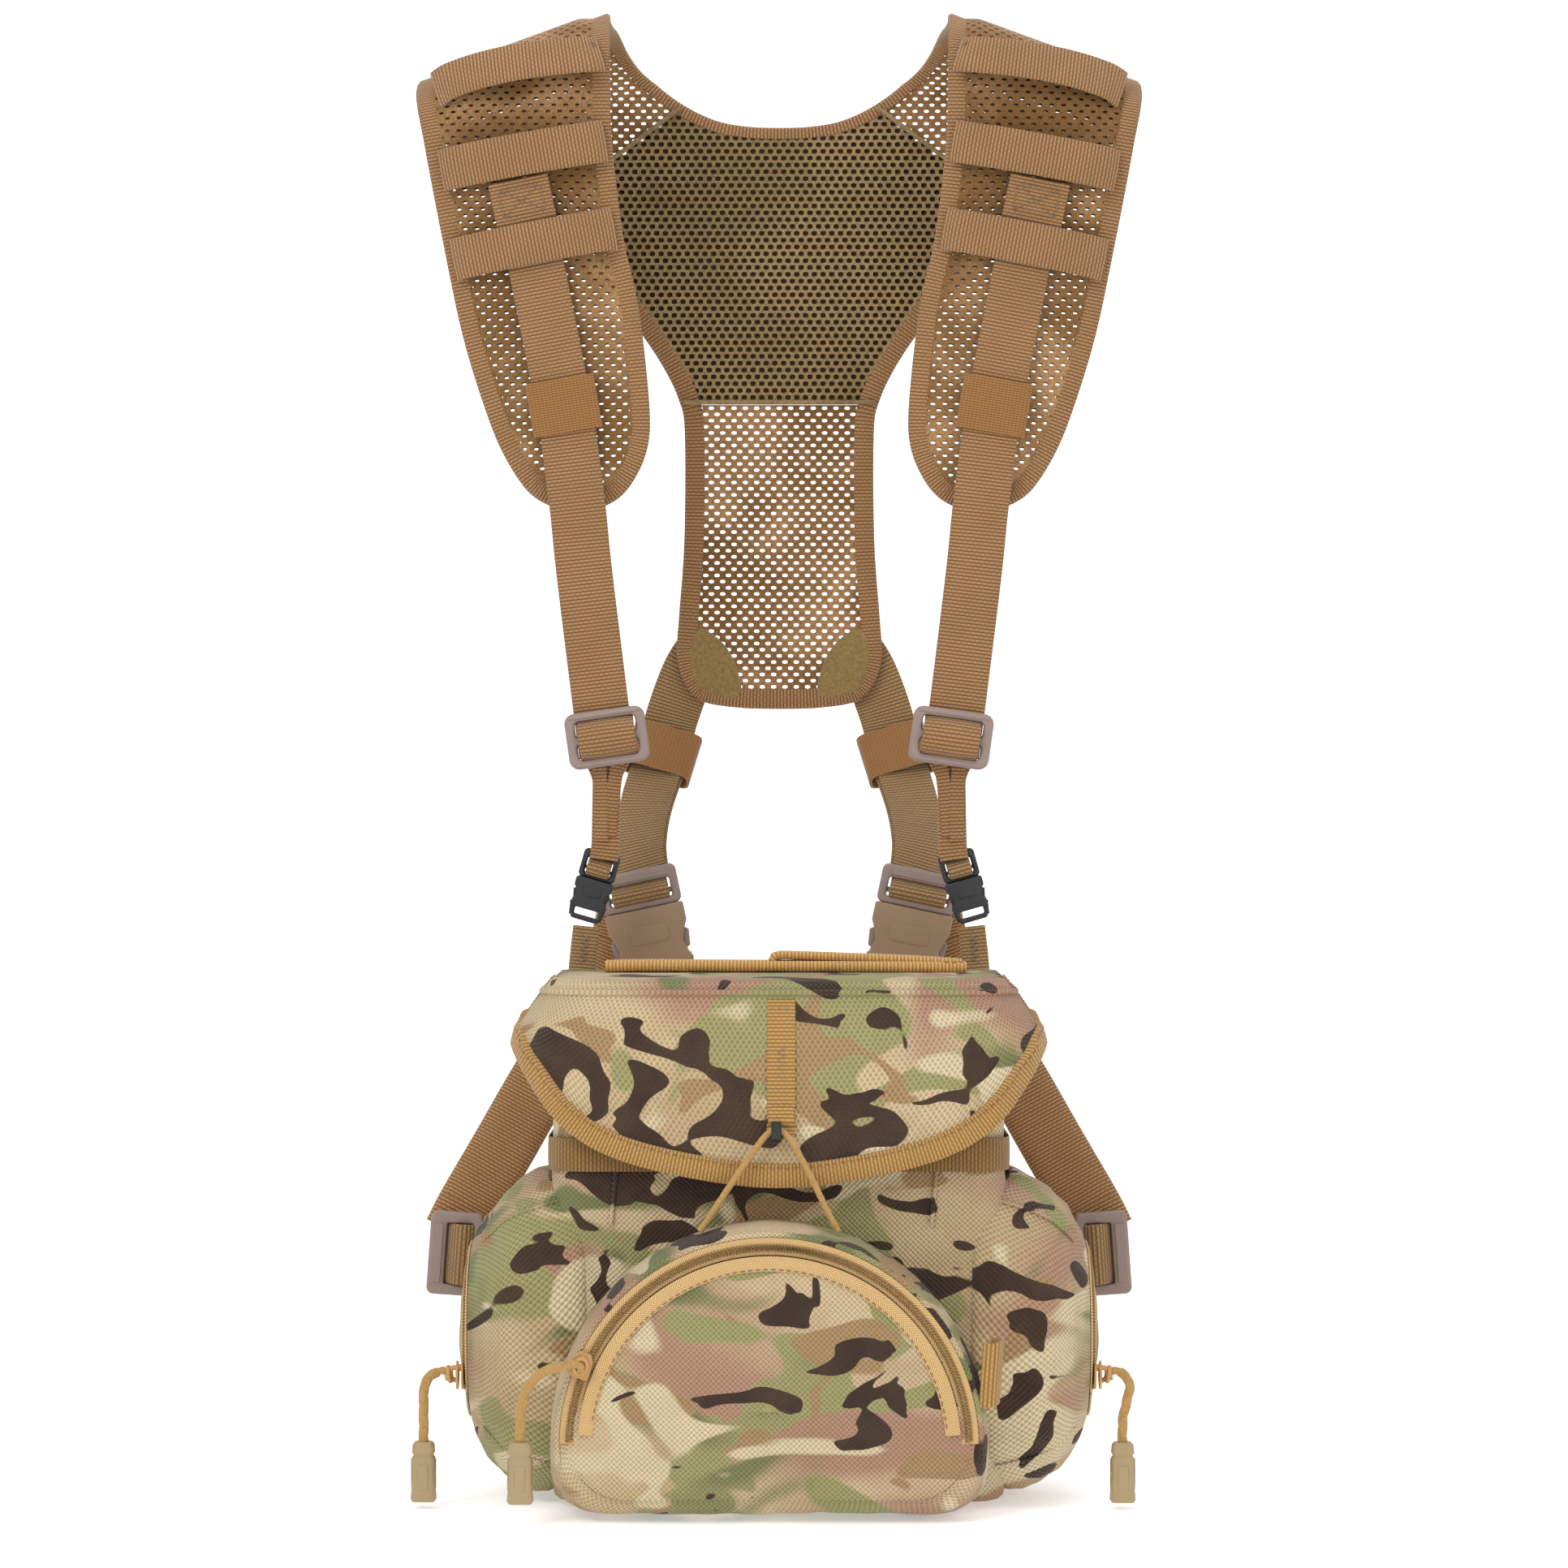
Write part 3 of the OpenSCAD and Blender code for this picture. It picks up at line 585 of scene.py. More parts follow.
CAMO = camo_fabric()
LINING = plain("dark_lining", "#4a4136", 0.9, 700)
COYOTE = webbing("coyote_webbing", "#a57d53", "#6c4b2b")
DARK_COYOTE = webbing("dark_coyote_webbing", "#b3885a", "#74512f")
OLIVE_COYOTE = webbing("olive_webbing", "#a08055", "#6a4e2e")
GOLD = webbing("gold_webbing", "#ba9153", "#85602f")
# Paler copy of the gold webbing for the carry handle: painted light on its top, where the lamps catch it.
GOLD_PAINTED_LIGHT = webbing("gold_webbing_painted_light", "#d6a866", "#a3763e")
# Darker copy of the gold webbing for the band round the body: painted shade where the lid overhangs it.
GOLD_PAINTED_SHADE = webbing("gold_webbing_painted_shade", "#94713f", "#664a26")
ELASTIC = elastic()
OPEN_MESH = knit("open_mesh", mesh_tone)
SPACER = knit("spacer_mesh", spacer_tone)
SPACER_DARK = plain("spacer_inner", "#4d3b22", 0.95, 900)
TAUPE = moulded("taupe_plastic", "#8d7b73", worn="#9c8a80")
TAN = moulded("tan_plastic", "#93795e", worn="#a1886d")
BLACK = moulded("black_plastic", "#232226", 0.4, "#3c3c40")
BLACK_METAL = moulded("black_metal", "#1b1a1a", 0.35, "#55524e")
SLIDER = moulded("gold_paint", "#b98d52", 0.4, "#d8bd8d")
CORD = plain("braided_cord", "#b78f52", 0.75, 1400, 0.0002, 0.3)
CORD_END = moulded("cord_end_rubber", "#a08b66", 0.5, "#ad9973")
TWILL = twill()
COIL = plain("zipper_coil", "#9b7a4a", 0.45, 900, 0.0001)
THREAD = plain("thread", "#8d7357", 0.7, 900, 0.0001)
GREY_THREAD = plain("grey_thread", "#8f877c", 0.7, 900, 0.0001)
HOOK_PATCH = plain("loop_patch", "#8d7444", 0.95, 700, 0.0012, 0.4)


# ---------------------------------------------------------------- pull cords and bungee
def cord_line(route):
    return resample(catmull(route, 10), 0.45)


def cord_end(name, at, body, node):
    """A moulded end that grips the cord: waisted grip, flared foot, groove and mould line."""
    rows = [(0, 3.6, 3.1), (-1.2, 4.6, 4.0), (-4.5, 4.9, 4.2), (-5.2, 4.3, 3.7), (-6.0, 4.3, 3.7),
            (-6.7, 4.9, 4.2), (-14, 4.7, 4.0), (-20, 5.1, 4.3), (-24.2, 5.5, 4.5), (-25.4, 4.8, 3.9)]
    a = round_angles(40)
    cx = squared(np.cos(a), 0.5)
    cy = squared(np.sin(a), 0.5)
    grid = np.array([[(at[0] + w * x, at[1] + d * y, at[2] + z) for x, y in zip(cx, cy)]
                     for z, w, d in rows])
    parts = [solid_part(grid)]
    for s in (-1, 1):
        parts.append(block_part((at[0] + s * 5.1, at[1], at[2] - 13.5), (0.25, 0.35, 6.5), bevel=0.15))
    parts.append(block_part((at[0], at[1] - 4.1, at[2] - 15), (2.2, 0.35, 5.5), bevel=0.3))
    return piece(name, parts, CORD_END, body, [node])


def pull(name, route, eye, body, node, end_node):
    line = cord_line(route)
    cord = piece(name, [tube_part(line, PULL_D / 2 * 0.93, 24, braid=0.16)], CORD, body,
                 [node])
    end = cord_end(name.replace("cord", "end"), route[-1], body, end_node)
    start = np.array(route[0], float)
    link = np.array(eye, float)
    loop = [link + (0, 0.6, -2.2), link + (0, -0.4, 0.2), link * 0.5 + start * 0.5 + (0, -0.6, 1.2), start,
            start + (np.array(route[1]) - start) * 0.35]
    piece(name.replace("cord", "loop"), [tube_part(catmull(loop, 8), PULL_D * 0.36, 12, braid=0.12)], CORD,
          body)


def pulls_and_bungee():
    pull("front_pull_cord_v", FRONT_PULL, (-82, -126, 64), "front_pull", "front_pull_cord", "front_cord_end")
    pull("left_pull_cord_v", LEFT_PULL, (-140.8, -73, 54), "left_pull", "left_pull_cord", "left_cord_end")
    pull("right_pull_cord_v", RIGHT_PULL, (140.8, -73, 54), "right_pull", "right_pull_cord",
         "right_cord_end")
    line = cord_line(BUNGEE)
    cord = piece("bungee_cord_v", [tube_part(line, BUNGEE_D / 2 * 0.96, 16, braid=0.06)], CORD,
                 "bungee", ["bungee_cord"])


# ---------------------------------------------------------------- main compartment
def plan_ring(x0, y0, x1, y1, r):
    """Points round a rectangle with round corners, the same count at every size."""
    side_n, corner_n = 22, 9
    out = []
    for (cx, cy, a0), (dx, dy) in zip(
        ((x1 - r, y1 - r, 0), (x0 + r, y1 - r, 90), (x0 + r, y0 + r, 180), (x1 - r, y0 + r, 270)),
        ((-1, 0), (0, -1), (1, 0), (0, 1)),
    ):
        for k in range(corner_n):
            a = math.radians(a0 + 90 * k / (corner_n - 1))
            out.append((cx + r * math.cos(a), cy + r * math.sin(a)))
        span = (x1 - x0 - 2 * r) if dx else (y1 - y0 - 2 * r)
        ex, ey = out[-1]
        for k in range(1, side_n):
            out.append((ex + dx * span * k / side_n, ey + dy * span * k / side_n))
    return np.array(out)


def body_shell():
    """The main compartment: outer fabric with soft folds, a turned rim, and a dark lining inside."""
    def level(z, inset, puff):
        r = max(14.0 - inset, 4)
        ring = plan_ring(-HALF_W + inset, FRONT_Y + inset, HALF_W - inset, BACK_Y - inset, r)
        pts = np.column_stack([ring, np.full(len(ring), z)])
        centre = np.array([0, (FRONT_Y + BACK_Y) / 2, z])
        out = unit(pts - centre)
        fold = wrinkle(pts, 26, 2.0) + 0.6 * wrinkle(pts * np.array([1, 1, 0.45]), 11, 7.0)
        return pts + out * (puff * fold[:, None] * 1.1 - abs(puff) * 0.7)
    zs = np.concatenate([[0, 0.6, 2, 4.5], np.linspace(8, RIM_Z - 3, 62), [RIM_Z - 1, RIM_Z]])
    insets = np.concatenate([[5, 3, 1.2, 0.3], np.zeros(62), [0.3, 1.0]])
    outer = np.array([level(z, i, puff=min(1.0, z / 20) if z < RIM_Z - 30 else 0.3)
                      for z, i in zip(zs, insets)])
    inner = np.array([level(z, 2.3, puff=0.2) for z in np.linspace(RIM_Z - 1, 5, 20)])
    piece("body_shell_v", [solid_part(np.concatenate([outer, inner]))], CAMO,
          nodes=["main_shell"])
    seams = []
    for x in (-70, 66):
        line = [(x + 2 * math.sin(z / 21), FRONT_Y - 0.6, z) for z in range(118, 146, 3)]
        seams.append(tube_part(line, 0.9, 8))
    rim = [(x, y, RIM_Z - 0.2) for x, y in plan_ring(-HALF_W + 1, FRONT_Y + 1, HALF_W - 1, BACK_Y - 1, 13)]
    rim = np.array(rim + rim[:1])
    seams.append(tube_part(rim, 1.5, 8, facing=(0, 0, 1)))
    piece("body_piping_v", seams, CAMO)
    band = [(HALF_W + 0.7, BACK_Y - 24, 148), (HALF_W + 0.9, FRONT_Y + 16, 148)]
    corner = [(HALF_W - 14 + 14.7 * math.cos(a), FRONT_Y + 14 - 14.7 * math.sin(a), 148)
              for a in np.radians(np.linspace(10, 80, 6))]
    half = band + corner + [(HALF_W - 16, FRONT_Y - 0.9, 148)]
    line = np.array(half + [(-x, y, z) for x, y, z in half[::-1]])
    p = resample(line, 2)
    _, w, _ = frames(p, (0, 0, 1))
    cs = np.array([(-7, 0.1), (-7, 0.8), (-3.5, 1.0), (0, 1.0), (3.5, 1.0), (7, 0.8), (7, 0.1)])
    up = np.array([0, 0, 1.0])
    pts = p[:, None] + cs[None, :, :1] * up + cs[None, :, 1:] * -w[:, None] * 0.9
    uv = grid_uv(walked(p), np.append(cs[:, 0], cs[0, 0]) + 7)
    # The band's webbing is darker for the painted shade under the lid's skirt.
    piece("body_band_v", [solid_part(pts, uv)], GOLD_PAINTED_SHADE, nodes=["body_band"])


def solid_fill(name, material):
    """Gives a CAD node that is right as it is its finish."""
    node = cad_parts[name]
    node.data.materials.clear()
    node.data.materials.append(material)


# ---------------------------------------------------------------- lid
LID_LEVELS = [  # height, half width, front, corner radius
    (224.0, 92.0, -74.0, 20.0), (222.0, 97.5, -79.5, 20.0), (217.0, 101.0, -82.6, 20.0),
    (208.0, 107.0, -85.5, 21.0), (200.0, 112.0, -88.0, 22.0), (192.0, 114.0, -89.5, 23.0),
    (180.0, 112.6, -91.0, 24.0), (165.0, 108.0, -92.0, 24.0), (150.0, 104.0, -92.3, 24.0),
    (130.0, 100.5, -92.0, 24.0)]
LID_EDGE_FRONT = [(0, 135), (36, 139.5), (70, 148.5), (92, 162), (107, 182), (115, 196), (130, 215)]
LID_EDGE_SIDE = [(-95, 130), (-74, 150), (-56, 184), (-30, 198), (6, 212), (20, 216)]


def lid_outline(z, grow=0.0, n=150):
    """The lid's plan at one height: from the back left, round the front, to the back right."""
    levels = np.array(LID_LEVELS)[::-1]
    half, front, r = (np.interp(z, levels[:, 0], levels[:, k]) for k in (1, 2, 3))
    half, front = half + grow, front - grow
    left = [(-half, y) for y in np.linspace(9, front + r, 18)]
    corner = [(-half + r - r * math.cos(a), front + r - r * math.sin(a))
              for a in np.linspace(0, math.pi / 2, 14)]
    across = [(x, front - 1.5 * (1 - (x / half) ** 2)) for x in np.linspace(-half + r, 0, 24)]
    line = np.array(left + corner[1:] + across[1:])
    line = np.vstack([line, (line * np.array([-1, 1]))[::-1][1:]])
    s = walked(line)
    at = np.linspace(0, s[-1], n)
    return np.stack([np.interp(at, s, line[:, k]) for k in (0, 1)], 1)


def lid_edge_height(x, y):
    front_line = catmull([(-36, 139.5)] + LID_EDGE_FRONT, 8)
    side_line = catmull(LID_EDGE_SIDE, 8)
    front = np.interp(np.abs(x), front_line[:, 0], front_line[:, 1])
    side = np.interp(y, side_line[:, 0], side_line[:, 1])
    return np.logaddexp(front / 3, side / 3) * 3


def lid_point_grid(grow, n, shares):
    """Surface points from the top welt, where the share is 0, down to the free edge, where it is 1."""
    top = 217.0
    edge = np.full(n, 150.0)
    for _ in range(40):
        stack = {round(z, 1): lid_outline(z, 0, n) for z in set(np.round(edge, 1))}
        now = np.array([stack[round(z, 1)][i] for i, z in enumerate(np.round(edge, 1))])
        edge = 0.5 * edge + 0.5 * lid_edge_height(now[:, 0], now[:, 1])
    out = []
    for share in shares:
        z = top + (edge - top) * share
        line = np.array([lid_outline(zz, grow, n)[i] for i, zz in enumerate(z)])
        out.append(np.column_stack([line, z]))
    return np.array(out)


def lid():
    n = 150
    shares = np.concatenate([[0, 0.015, 0.03, 0.05], np.linspace(0.08, 0.97, 26)])
    skirt = lid_point_grid(0, n, shares)
    folds = wrinkle(skirt.reshape(-1, 3), 34, 5.0).reshape(skirt.shape[:2])
    folds += 0.5 * wrinkle(skirt.reshape(-1, 3) * np.array([1, 1, 0.4]), 13, 1.0).reshape(skirt.shape[:2])
    out_dir = np.stack([skirt[..., 0], skirt[..., 1] * 1.2 + 30, np.zeros(skirt.shape[:2])], -1)
    out_dir = unit(out_dir)
    amount = smooth(0.02, 0.2, shares)[:, None] * folds * 1.1
    skirt = skirt + out_dir * amount[..., None]
    top_rows = []
    for z, grow, mix in ((219.5, 0, 0.0), (221.5, 0, 0.0), (222.6, -3, 0.0), (222.8, 0, 0.12),
                         (223.0, 0, 0.3), (223.0, 0, 0.55), (222.9, 0, 0.8), (222.9, 0, 1.0)):
        line = lid_outline(min(z, 222), grow, n)
        spine = np.column_stack([line[:, 0] * 0.9, np.full(n, 9.0)])
        line = line * (1 - mix) + spine * mix
        top_rows.append(np.column_stack([line, np.full(n, z)]))
    top = np.array(top_rows)[::-1]
    outer = np.concatenate([top, skirt])
    centre = np.array([0, -25, 205])
    inward = unit(centre - outer) * np.array([1, 1, 0.5])
    flat_top = (outer[..., 2] > 221)[..., None]
    inward = np.where(flat_top, np.array([0, 0, -1.0]), unit(inward * np.array([1, 1, 0.0]) + 1e-6))
    inner = outer + inward * 1.9
    piece("lid_shell_v", [shell_part(outer, inner)], CAMO, "lid", ["lid_shell"])
    welt = lid_point_grid(0.4, n, np.array([0.0, 0.01]))[0]
    piece("lid_welt_v", [tube_part(welt, 1.3, 8, facing=(0, 0, 1))], CAMO, "lid")
    lid_binding(n)
    lid_tab_and_hook()


def lid_hinge_tape():
    """The fabric that joins the lid to the top of the back wall, where it folds."""
    across = np.linspace(-90, 90, 60)
    rows = []
    for y, z in ((9.2, 199), (10.4, 207), (10.6, 215), (9.0, 222.4), (7.2, 222.4), (7.6, 214), (8.2, 206),
                 (8.2, 199)):
        rows.append(np.stack([across, np.full_like(across, y), np.full_like(across, z)], -1))
    tape = solid_part(np.array(rows).transpose(1, 0, 2))
    piece("lid_hinge_tape_v", [tape], CAMO, "pack")


def lid_binding(n):
    """Folded webbing round the lid's free edge, with its stitch line."""
    edge = lid_point_grid(0, n, np.array([0.9, 1.0]))
    down = unit(edge[1] - edge[0])
    line = edge[1]
    t = unit(np.gradient(line, axis=0))
    down = unit(down - (down * t).sum(1, keepdims=True) * t)
    out = unit(np.cross(t, down))
    sign = np.sign((out * (line - np.array([0, 10, 190]))).sum(1, keepdims=True))
    out = out * sign
    cs = np.array([(-9.6, 0.3), (-9.4, 1.3), (-5, 1.7), (-1, 1.6), (0.6, 0.6), (0.6, -1.6), (-1, -2.6),
                   (-5, -2.8), (-9.4, -2.6), (-9.6, -2.0)])
    pts = line[:, None] + cs[None, :, :1] * down[:, None] + cs[None, :, 1:] * out[:, None]
    s = walked(line)
    width = np.append(np.clip(walked(cs), 0, None), walked(cs)[-1])
    uv = grid_uv(s, width)
    piece("lid_binding_v", [solid_part(pts, uv)], GOLD, "lid", ["lid_binding"])
    seam = line - down * 7.9 + out * 1.5
    thread = stitches(seam, (0, -1, 0), 3.4, 2.2, 0.28, 0.15)
    piece("lid_binding_thread_v", thread, THREAD, "lid")


def lid_tab_and_hook():
    path = [(1, -84.6, 214), (1, -88.6, 205), (1, -91.2, 195), (1, -93.4, 176), (1, -94.8, 158)]
    under = [(1.2, -83.4, 215), (1.2, -87.4, 204), (1.2, -90.0, 194), (1.2, -92.2, 178), (1.2, -93.4, 166)]
    parts = [ribbon_part(path, 12.2, 1.5, step=1.5), ribbon_part(under, 11.6, 1.2, step=2)]
    fold = [(1, -95.0, 164), (1, -96.4, 162.4), (1, -97.2, 163.6), (1, -96.6, 165.6), (1, -95.2, 169)]
    parts.append(ribbon_part(fold, 11, 1.2, step=0.5, across=(1, 0, 0)))
    piece("lid_tab_v", parts, GOLD, "lid", ["lid_tab"])
    thread = zigzag([(1, -92.0, 194), (1, -94.2, 170)], (1, 0, 0), 1.6, (0, -1, 0))
    thread += zigzag([(-3, -86.9, 209.5), (5, -86.9, 209.5)], (0, 0, 1), 1.2, (0, -1, 0.4))
    piece("lid_tab_thread_v", thread, GREY_THREAD, "lid")
    hook = [(-1, -96.3, 164), (-1, -96.6, 157.5), (-1, -98.7, 155.2), (-1, -101, 156.6),
            (-1, -101.6, 160), (-1, -101.3, 163.8)]
    parts = [ribbon_part(hook, 4.2, 1.3, step=0.6, across=(1, 0, 0))]
    parts.append(tube_part(np.array([(x, -96.2, 163.5) for x in (-6, -4, -1, 2, 4)]), 0.9, 8))
    piece("lid_hook_v", parts, BLACK_METAL, "lid", ["lid_hook"])


def handle():
    """The carry handle: two layers of rolled webbing, sewn to the lid at both ends."""
    low = [(-76, -13.8, 225.4), (-60, -13.8, 225.8), (-20, -13.8, 225.6), (30, -13.8, 225.4),
           (66, -13.8, 225.2), (82, -13.8, 224.9)]
    high = [(-3, -10.8, 227.8), (-1, -10.8, 230.0), (10, -10.8, 230.0), (32, -10.8, 229.2),
            (58, -10.8, 228.2), (80, -10.8, 226.8)]
    parts = [ribbon_part(low, 22, 4.8, (0, 0, 1)), ribbon_part(high, 17, 3.4, (0, 0, 1))]
    # The handle's webbing is paler for painted light on its top.
    piece("carry_handle_v", parts, GOLD_PAINTED_LIGHT, "handle", ["carry_handle"])
    thread = []
    for x in (-70, 76):
        thread += box_stitch((x, -15, 227.3), (1, 0, 0), (0, 1, 0), 4, 8, (0, 0, 1))
    piece("carry_handle_thread_v", thread, THREAD, "handle")


# ---------------------------------------------------------------- front pocket
def pocket_outline(r, side, low, corner, n=160):
    """Closed outline: an arch over straight sides with round corners at the foot."""
    cx, cz = FRONT_C
    top = [(cx + r * math.cos(a), cz + r * math.sin(a)) for a in np.linspace(0, math.pi, 60)]
    left = [(cx - side, z) for z in np.linspace(cz - 2, low + corner, 5)]
    foot = [(cx - side + corner - corner * math.cos(a), low + corner - corner * math.sin(a))
            for a in np.linspace(0, math.pi / 2, 9)]
    flat = [(x, low) for x in np.linspace(cx - side + corner, cx + side - corner, 20)[1:-1]]
    right = [(2 * cx - x, z) for x, z in (left + foot)[::-1]]
    line = np.array(top + left + foot + flat + right)
    line = np.vstack([line, line[:1]])
    s = walked(line)
    at = np.linspace(0, s[-1], n, endpoint=False)
    return np.stack([np.interp(at, s, line[:, k]) for k in (0, 1)], 1)


def front_gusset():
    """The pocket's side walls, puffed and creased, with the lining inside."""
    rows = [(-79.6, 91, 91, 0.6, 16), (-84, 91.8, 91.6, 0.2, 16), (-92, 92.3, 92.2, 0.0, 17),
            (-100, 92.2, 92.2, 0.0, 18), (-107, 91.4, 91.6, 0.2, 20), (-112, 90.2, 90.6, 0.8, 22),
            (-115.5, 88.6, 88.8, 1.8, 22), (-117.4, 87.0, 86.8, 3.6, 22), (-117.6, 85.0, 84.6, 5.6, 22)]
    outer = []
    for y, r, side, low, corner in rows:
        ring = pocket_outline(r, side, low, corner)
        outer.append(np.column_stack([ring[:, 0], np.full(len(ring), y), ring[:, 1]]))
    outer = np.array(outer)
    t = np.linspace(0, len(rows) - 1, 34)
    dense = np.stack([[np.interp(t, range(len(rows)), outer[:, j, k]) for k in range(3)]
                      for j in range(outer.shape[1])], 0).transpose(2, 0, 1)
    fold = wrinkle(dense.reshape(-1, 3) * np.array([1, 0.5, 1]), 12, 4.0).reshape(dense.shape[:2])
    rise = smooth(0, 6, t)[:, None] * smooth(33, 24, np.arange(34) * 1.0)[:, None]
    away = dense - np.array([FRONT_C[0], 0, FRONT_C[1] + 20]) * np.array([1, 0, 1])
    away[..., 1] = 0
    dense = dense + unit(away) * (fold * rise * 1.3 - 0.2)[..., None]
    inner = dense[::-1].copy()
    pull_in = unit(away)[::-1]
    inner = inner - pull_in * 2.3 + np.array([0, 0.8, 0])
    inner[..., 1] = np.minimum(inner[..., 1], -79.5)
    ring = np.concatenate([dense, inner])
    piece("front_gusset_v", [grid_part(ring, around=True)], CAMO, nodes=["front_pocket"])
    piping = pocket_outline(88.4, 88.2, 2.2, 22)
    arch = piping[(piping[:, 1] > 22)]
    arch = arch[np.argsort(-np.arctan2(arch[:, 1] - 20, arch[:, 0] + 4))]
    line = np.column_stack([arch[:, 0], np.full(len(arch), -117.0), arch[:, 1]])
    piece("front_piping_v", [tube_part(line, 1.3, 8)], CAMO)


def arc_line(r, a0, a1, y):
    """Part of a circle round the middle of the front pocket's arch."""
    return np.array([(FRONT_C[0] + r * math.cos(a), y, FRONT_C[1] + r * math.sin(a))
                     for a in np.radians(np.linspace(a0, a1, 90))])


def side_arc(x, r, a0, a1, n):
    """Part of a circle round the middle of a side pocket's opening."""
    return np.array([(x, SIDE_C[0] + r * math.cos(a), SIDE_C[1] + r * math.sin(a))
                     for a in np.radians(np.linspace(a0, a1, n))])


def flat_band(line, width, thickness, facing):
    """A thin flat band whose face looks along facing."""
    return ribbon_part(line, width, thickness, facing, step=1.6)


def coil(line, across, facing):
    """Zipper teeth: two rows of small loops that meet on a line."""
    half, pitch, radius = 1.5, 1.35, 0.42
    p = resample(line, pitch)
    t = unit(np.gradient(p, axis=0))
    f = unit(np.array(facing, float))
    out = []
    for i in range(len(p)):
        a = np.cross(t[i], f)
        for s in (-1, 1):
            base = p[i] + t[i] * (0.25 * s * pitch)
            loop = [base + a * s * half - f * 0.2, base + a * s * half * 0.6 + f * 0.7,
                    base + f * 0.8 - a * s * 0.25, base - a * s * 0.35]
            out.append(tube_part(np.array(loop), radius, sides=5, facing=across))
    return out


def front_face():
    """The pocket's face, one sheet from the fixed foot up over the zipped flap, with its twill trim."""
    n, rows = 160, 30
    rim = pocket_outline(79.0, 80.5, 3.5, 24, n)
    low = smooth(54, 34, rim[:, 1])
    rim = rim + np.column_stack([np.sign(rim[:, 0] - FRONT_C[0]) * low * 5.2, np.zeros(n)])
    middle = np.array([FRONT_C[0], 46.0])
    shares = np.sin(np.linspace(0.02, 1, rows) * math.pi / 2)
    out = []
    for share in shares:
        ring = middle + (rim - middle) * share
        edge_y = np.where(rim[:, 1] > 46, -118.6, -118.6 + 3.0 * smooth(46, 8, rim[:, 1]))
        bulge = 7.6 * (1 - share**2.2)
        out.append(np.column_stack([ring[:, 0], edge_y - bulge, ring[:, 1]]))
    outer = np.array(out)
    fold = wrinkle(outer.reshape(-1, 3), 30, 6.0).reshape(rows, n)
    fold += 0.4 * wrinkle(outer.reshape(-1, 3), 11, 3.0).reshape(rows, n)
    outer[..., 1] += (fold * smooth(1.0, 0.75, shares)[:, None]) * 1.3
    inner = outer[::-1] + np.array([0, 2.0, 0])
    uv_ring = np.concatenate([outer, inner])
    uv = np.stack([np.concatenate([uv_ring[..., 0], uv_ring[:, :1, 0]], 1),
                   np.concatenate([uv_ring[..., 2], uv_ring[:, :1, 2]], 1)], -1)
    part = solid_part(uv_ring, uv)
    face = piece("front_face_v", [part], CAMO, None, ["front_door"])
    line = arc_line(76.6, 4, 176, -120.1)
    trim = piece("front_trim_v", [flat_band(line, 6.4, 1.0, (0, -1, 0))], TWILL, None)
    thread = stitches(arc_line(74.2, 6, 174, -120.7), (0, -1, 0), 3.2, 2.1, 0.26)
    seam = piece("front_trim_thread_v", thread, THREAD, None)
    for obj in (face, trim, seam):
        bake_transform(obj)


def front_zipper():
    tape = arc_line(83.6, 1, 179, -117.9)
    piece("front_tape_v", [flat_band(tape, 7.4, 0.8, (0, -1, 0))], TWILL,
          nodes=["front_zipper"])
    teeth = coil(arc_line(83.2, 2, 178, -118.4), (0, 0, 1), (0, -1, 0))
    piece("front_coil_v", teeth, COIL)


def pocket_tab():
    loop = [(84.5, -116.4, 59), (87, -117.4, 59), (90, -116.6, 59.5), (92.2, -112.4, 60), (92.4, -106, 60),
            (91, -100, 59.5), (88.5, -97.5, 59)]
    parts = [ribbon_part(loop, 27, 1.6, step=1.0, across=(0.07, 0, 1))]
    piece("pocket_tab_v", parts, GOLD, nodes=["pocket_tab"])


# ---------------------------------------------------------------- side pockets
SIDE_N = 110
SIDE_ROWS = 26
DOOR_ROWS = 16
SIDE_LEVELS = [  # distance from the middle, back, front, foot, top, squareness
    (96.6, 3.0, -79.0, 2.0, 137.0, 3.6), (98.5, 4.0, -82.0, 0.8, 140.0, 3.4),
    (104.0, 3.5, -84.5, 0.6, 138.5, 3.2), (111.0, 2.0, -84.5, 4.0, 134.5, 3.0),
    (118.0, 0.0, -83.0, 9.0, 129.0, 2.8), (125.0, -2.0, -80.5, 16.5, 121.5, 2.6),
    (130.0, -3.0, -79.5, 24.0, 114.0, 2.3), (132.0, -3.4, -80.2, 30.0, 109.5, 2.05)]


def side_ring(x, y1, y0, z0, z1, square):
    a = round_angles(SIDE_N)
    c = squared(np.cos(a), 2 / square)
    s = squared(np.sin(a), 2 / square)
    return np.column_stack([np.full(SIDE_N, x), (y0 + y1) / 2 + (y1 - y0) / 2 * c,
                            (z0 + z1) / 2 + (z1 - z0) / 2 * s])


def wrap(points):
    """How far the pocket's root reaches inwards round the front corner of the main compartment."""
    return 15.5 * smooth(-62, -80, points[..., 1]) * smooth(118, 97, points[..., 0])


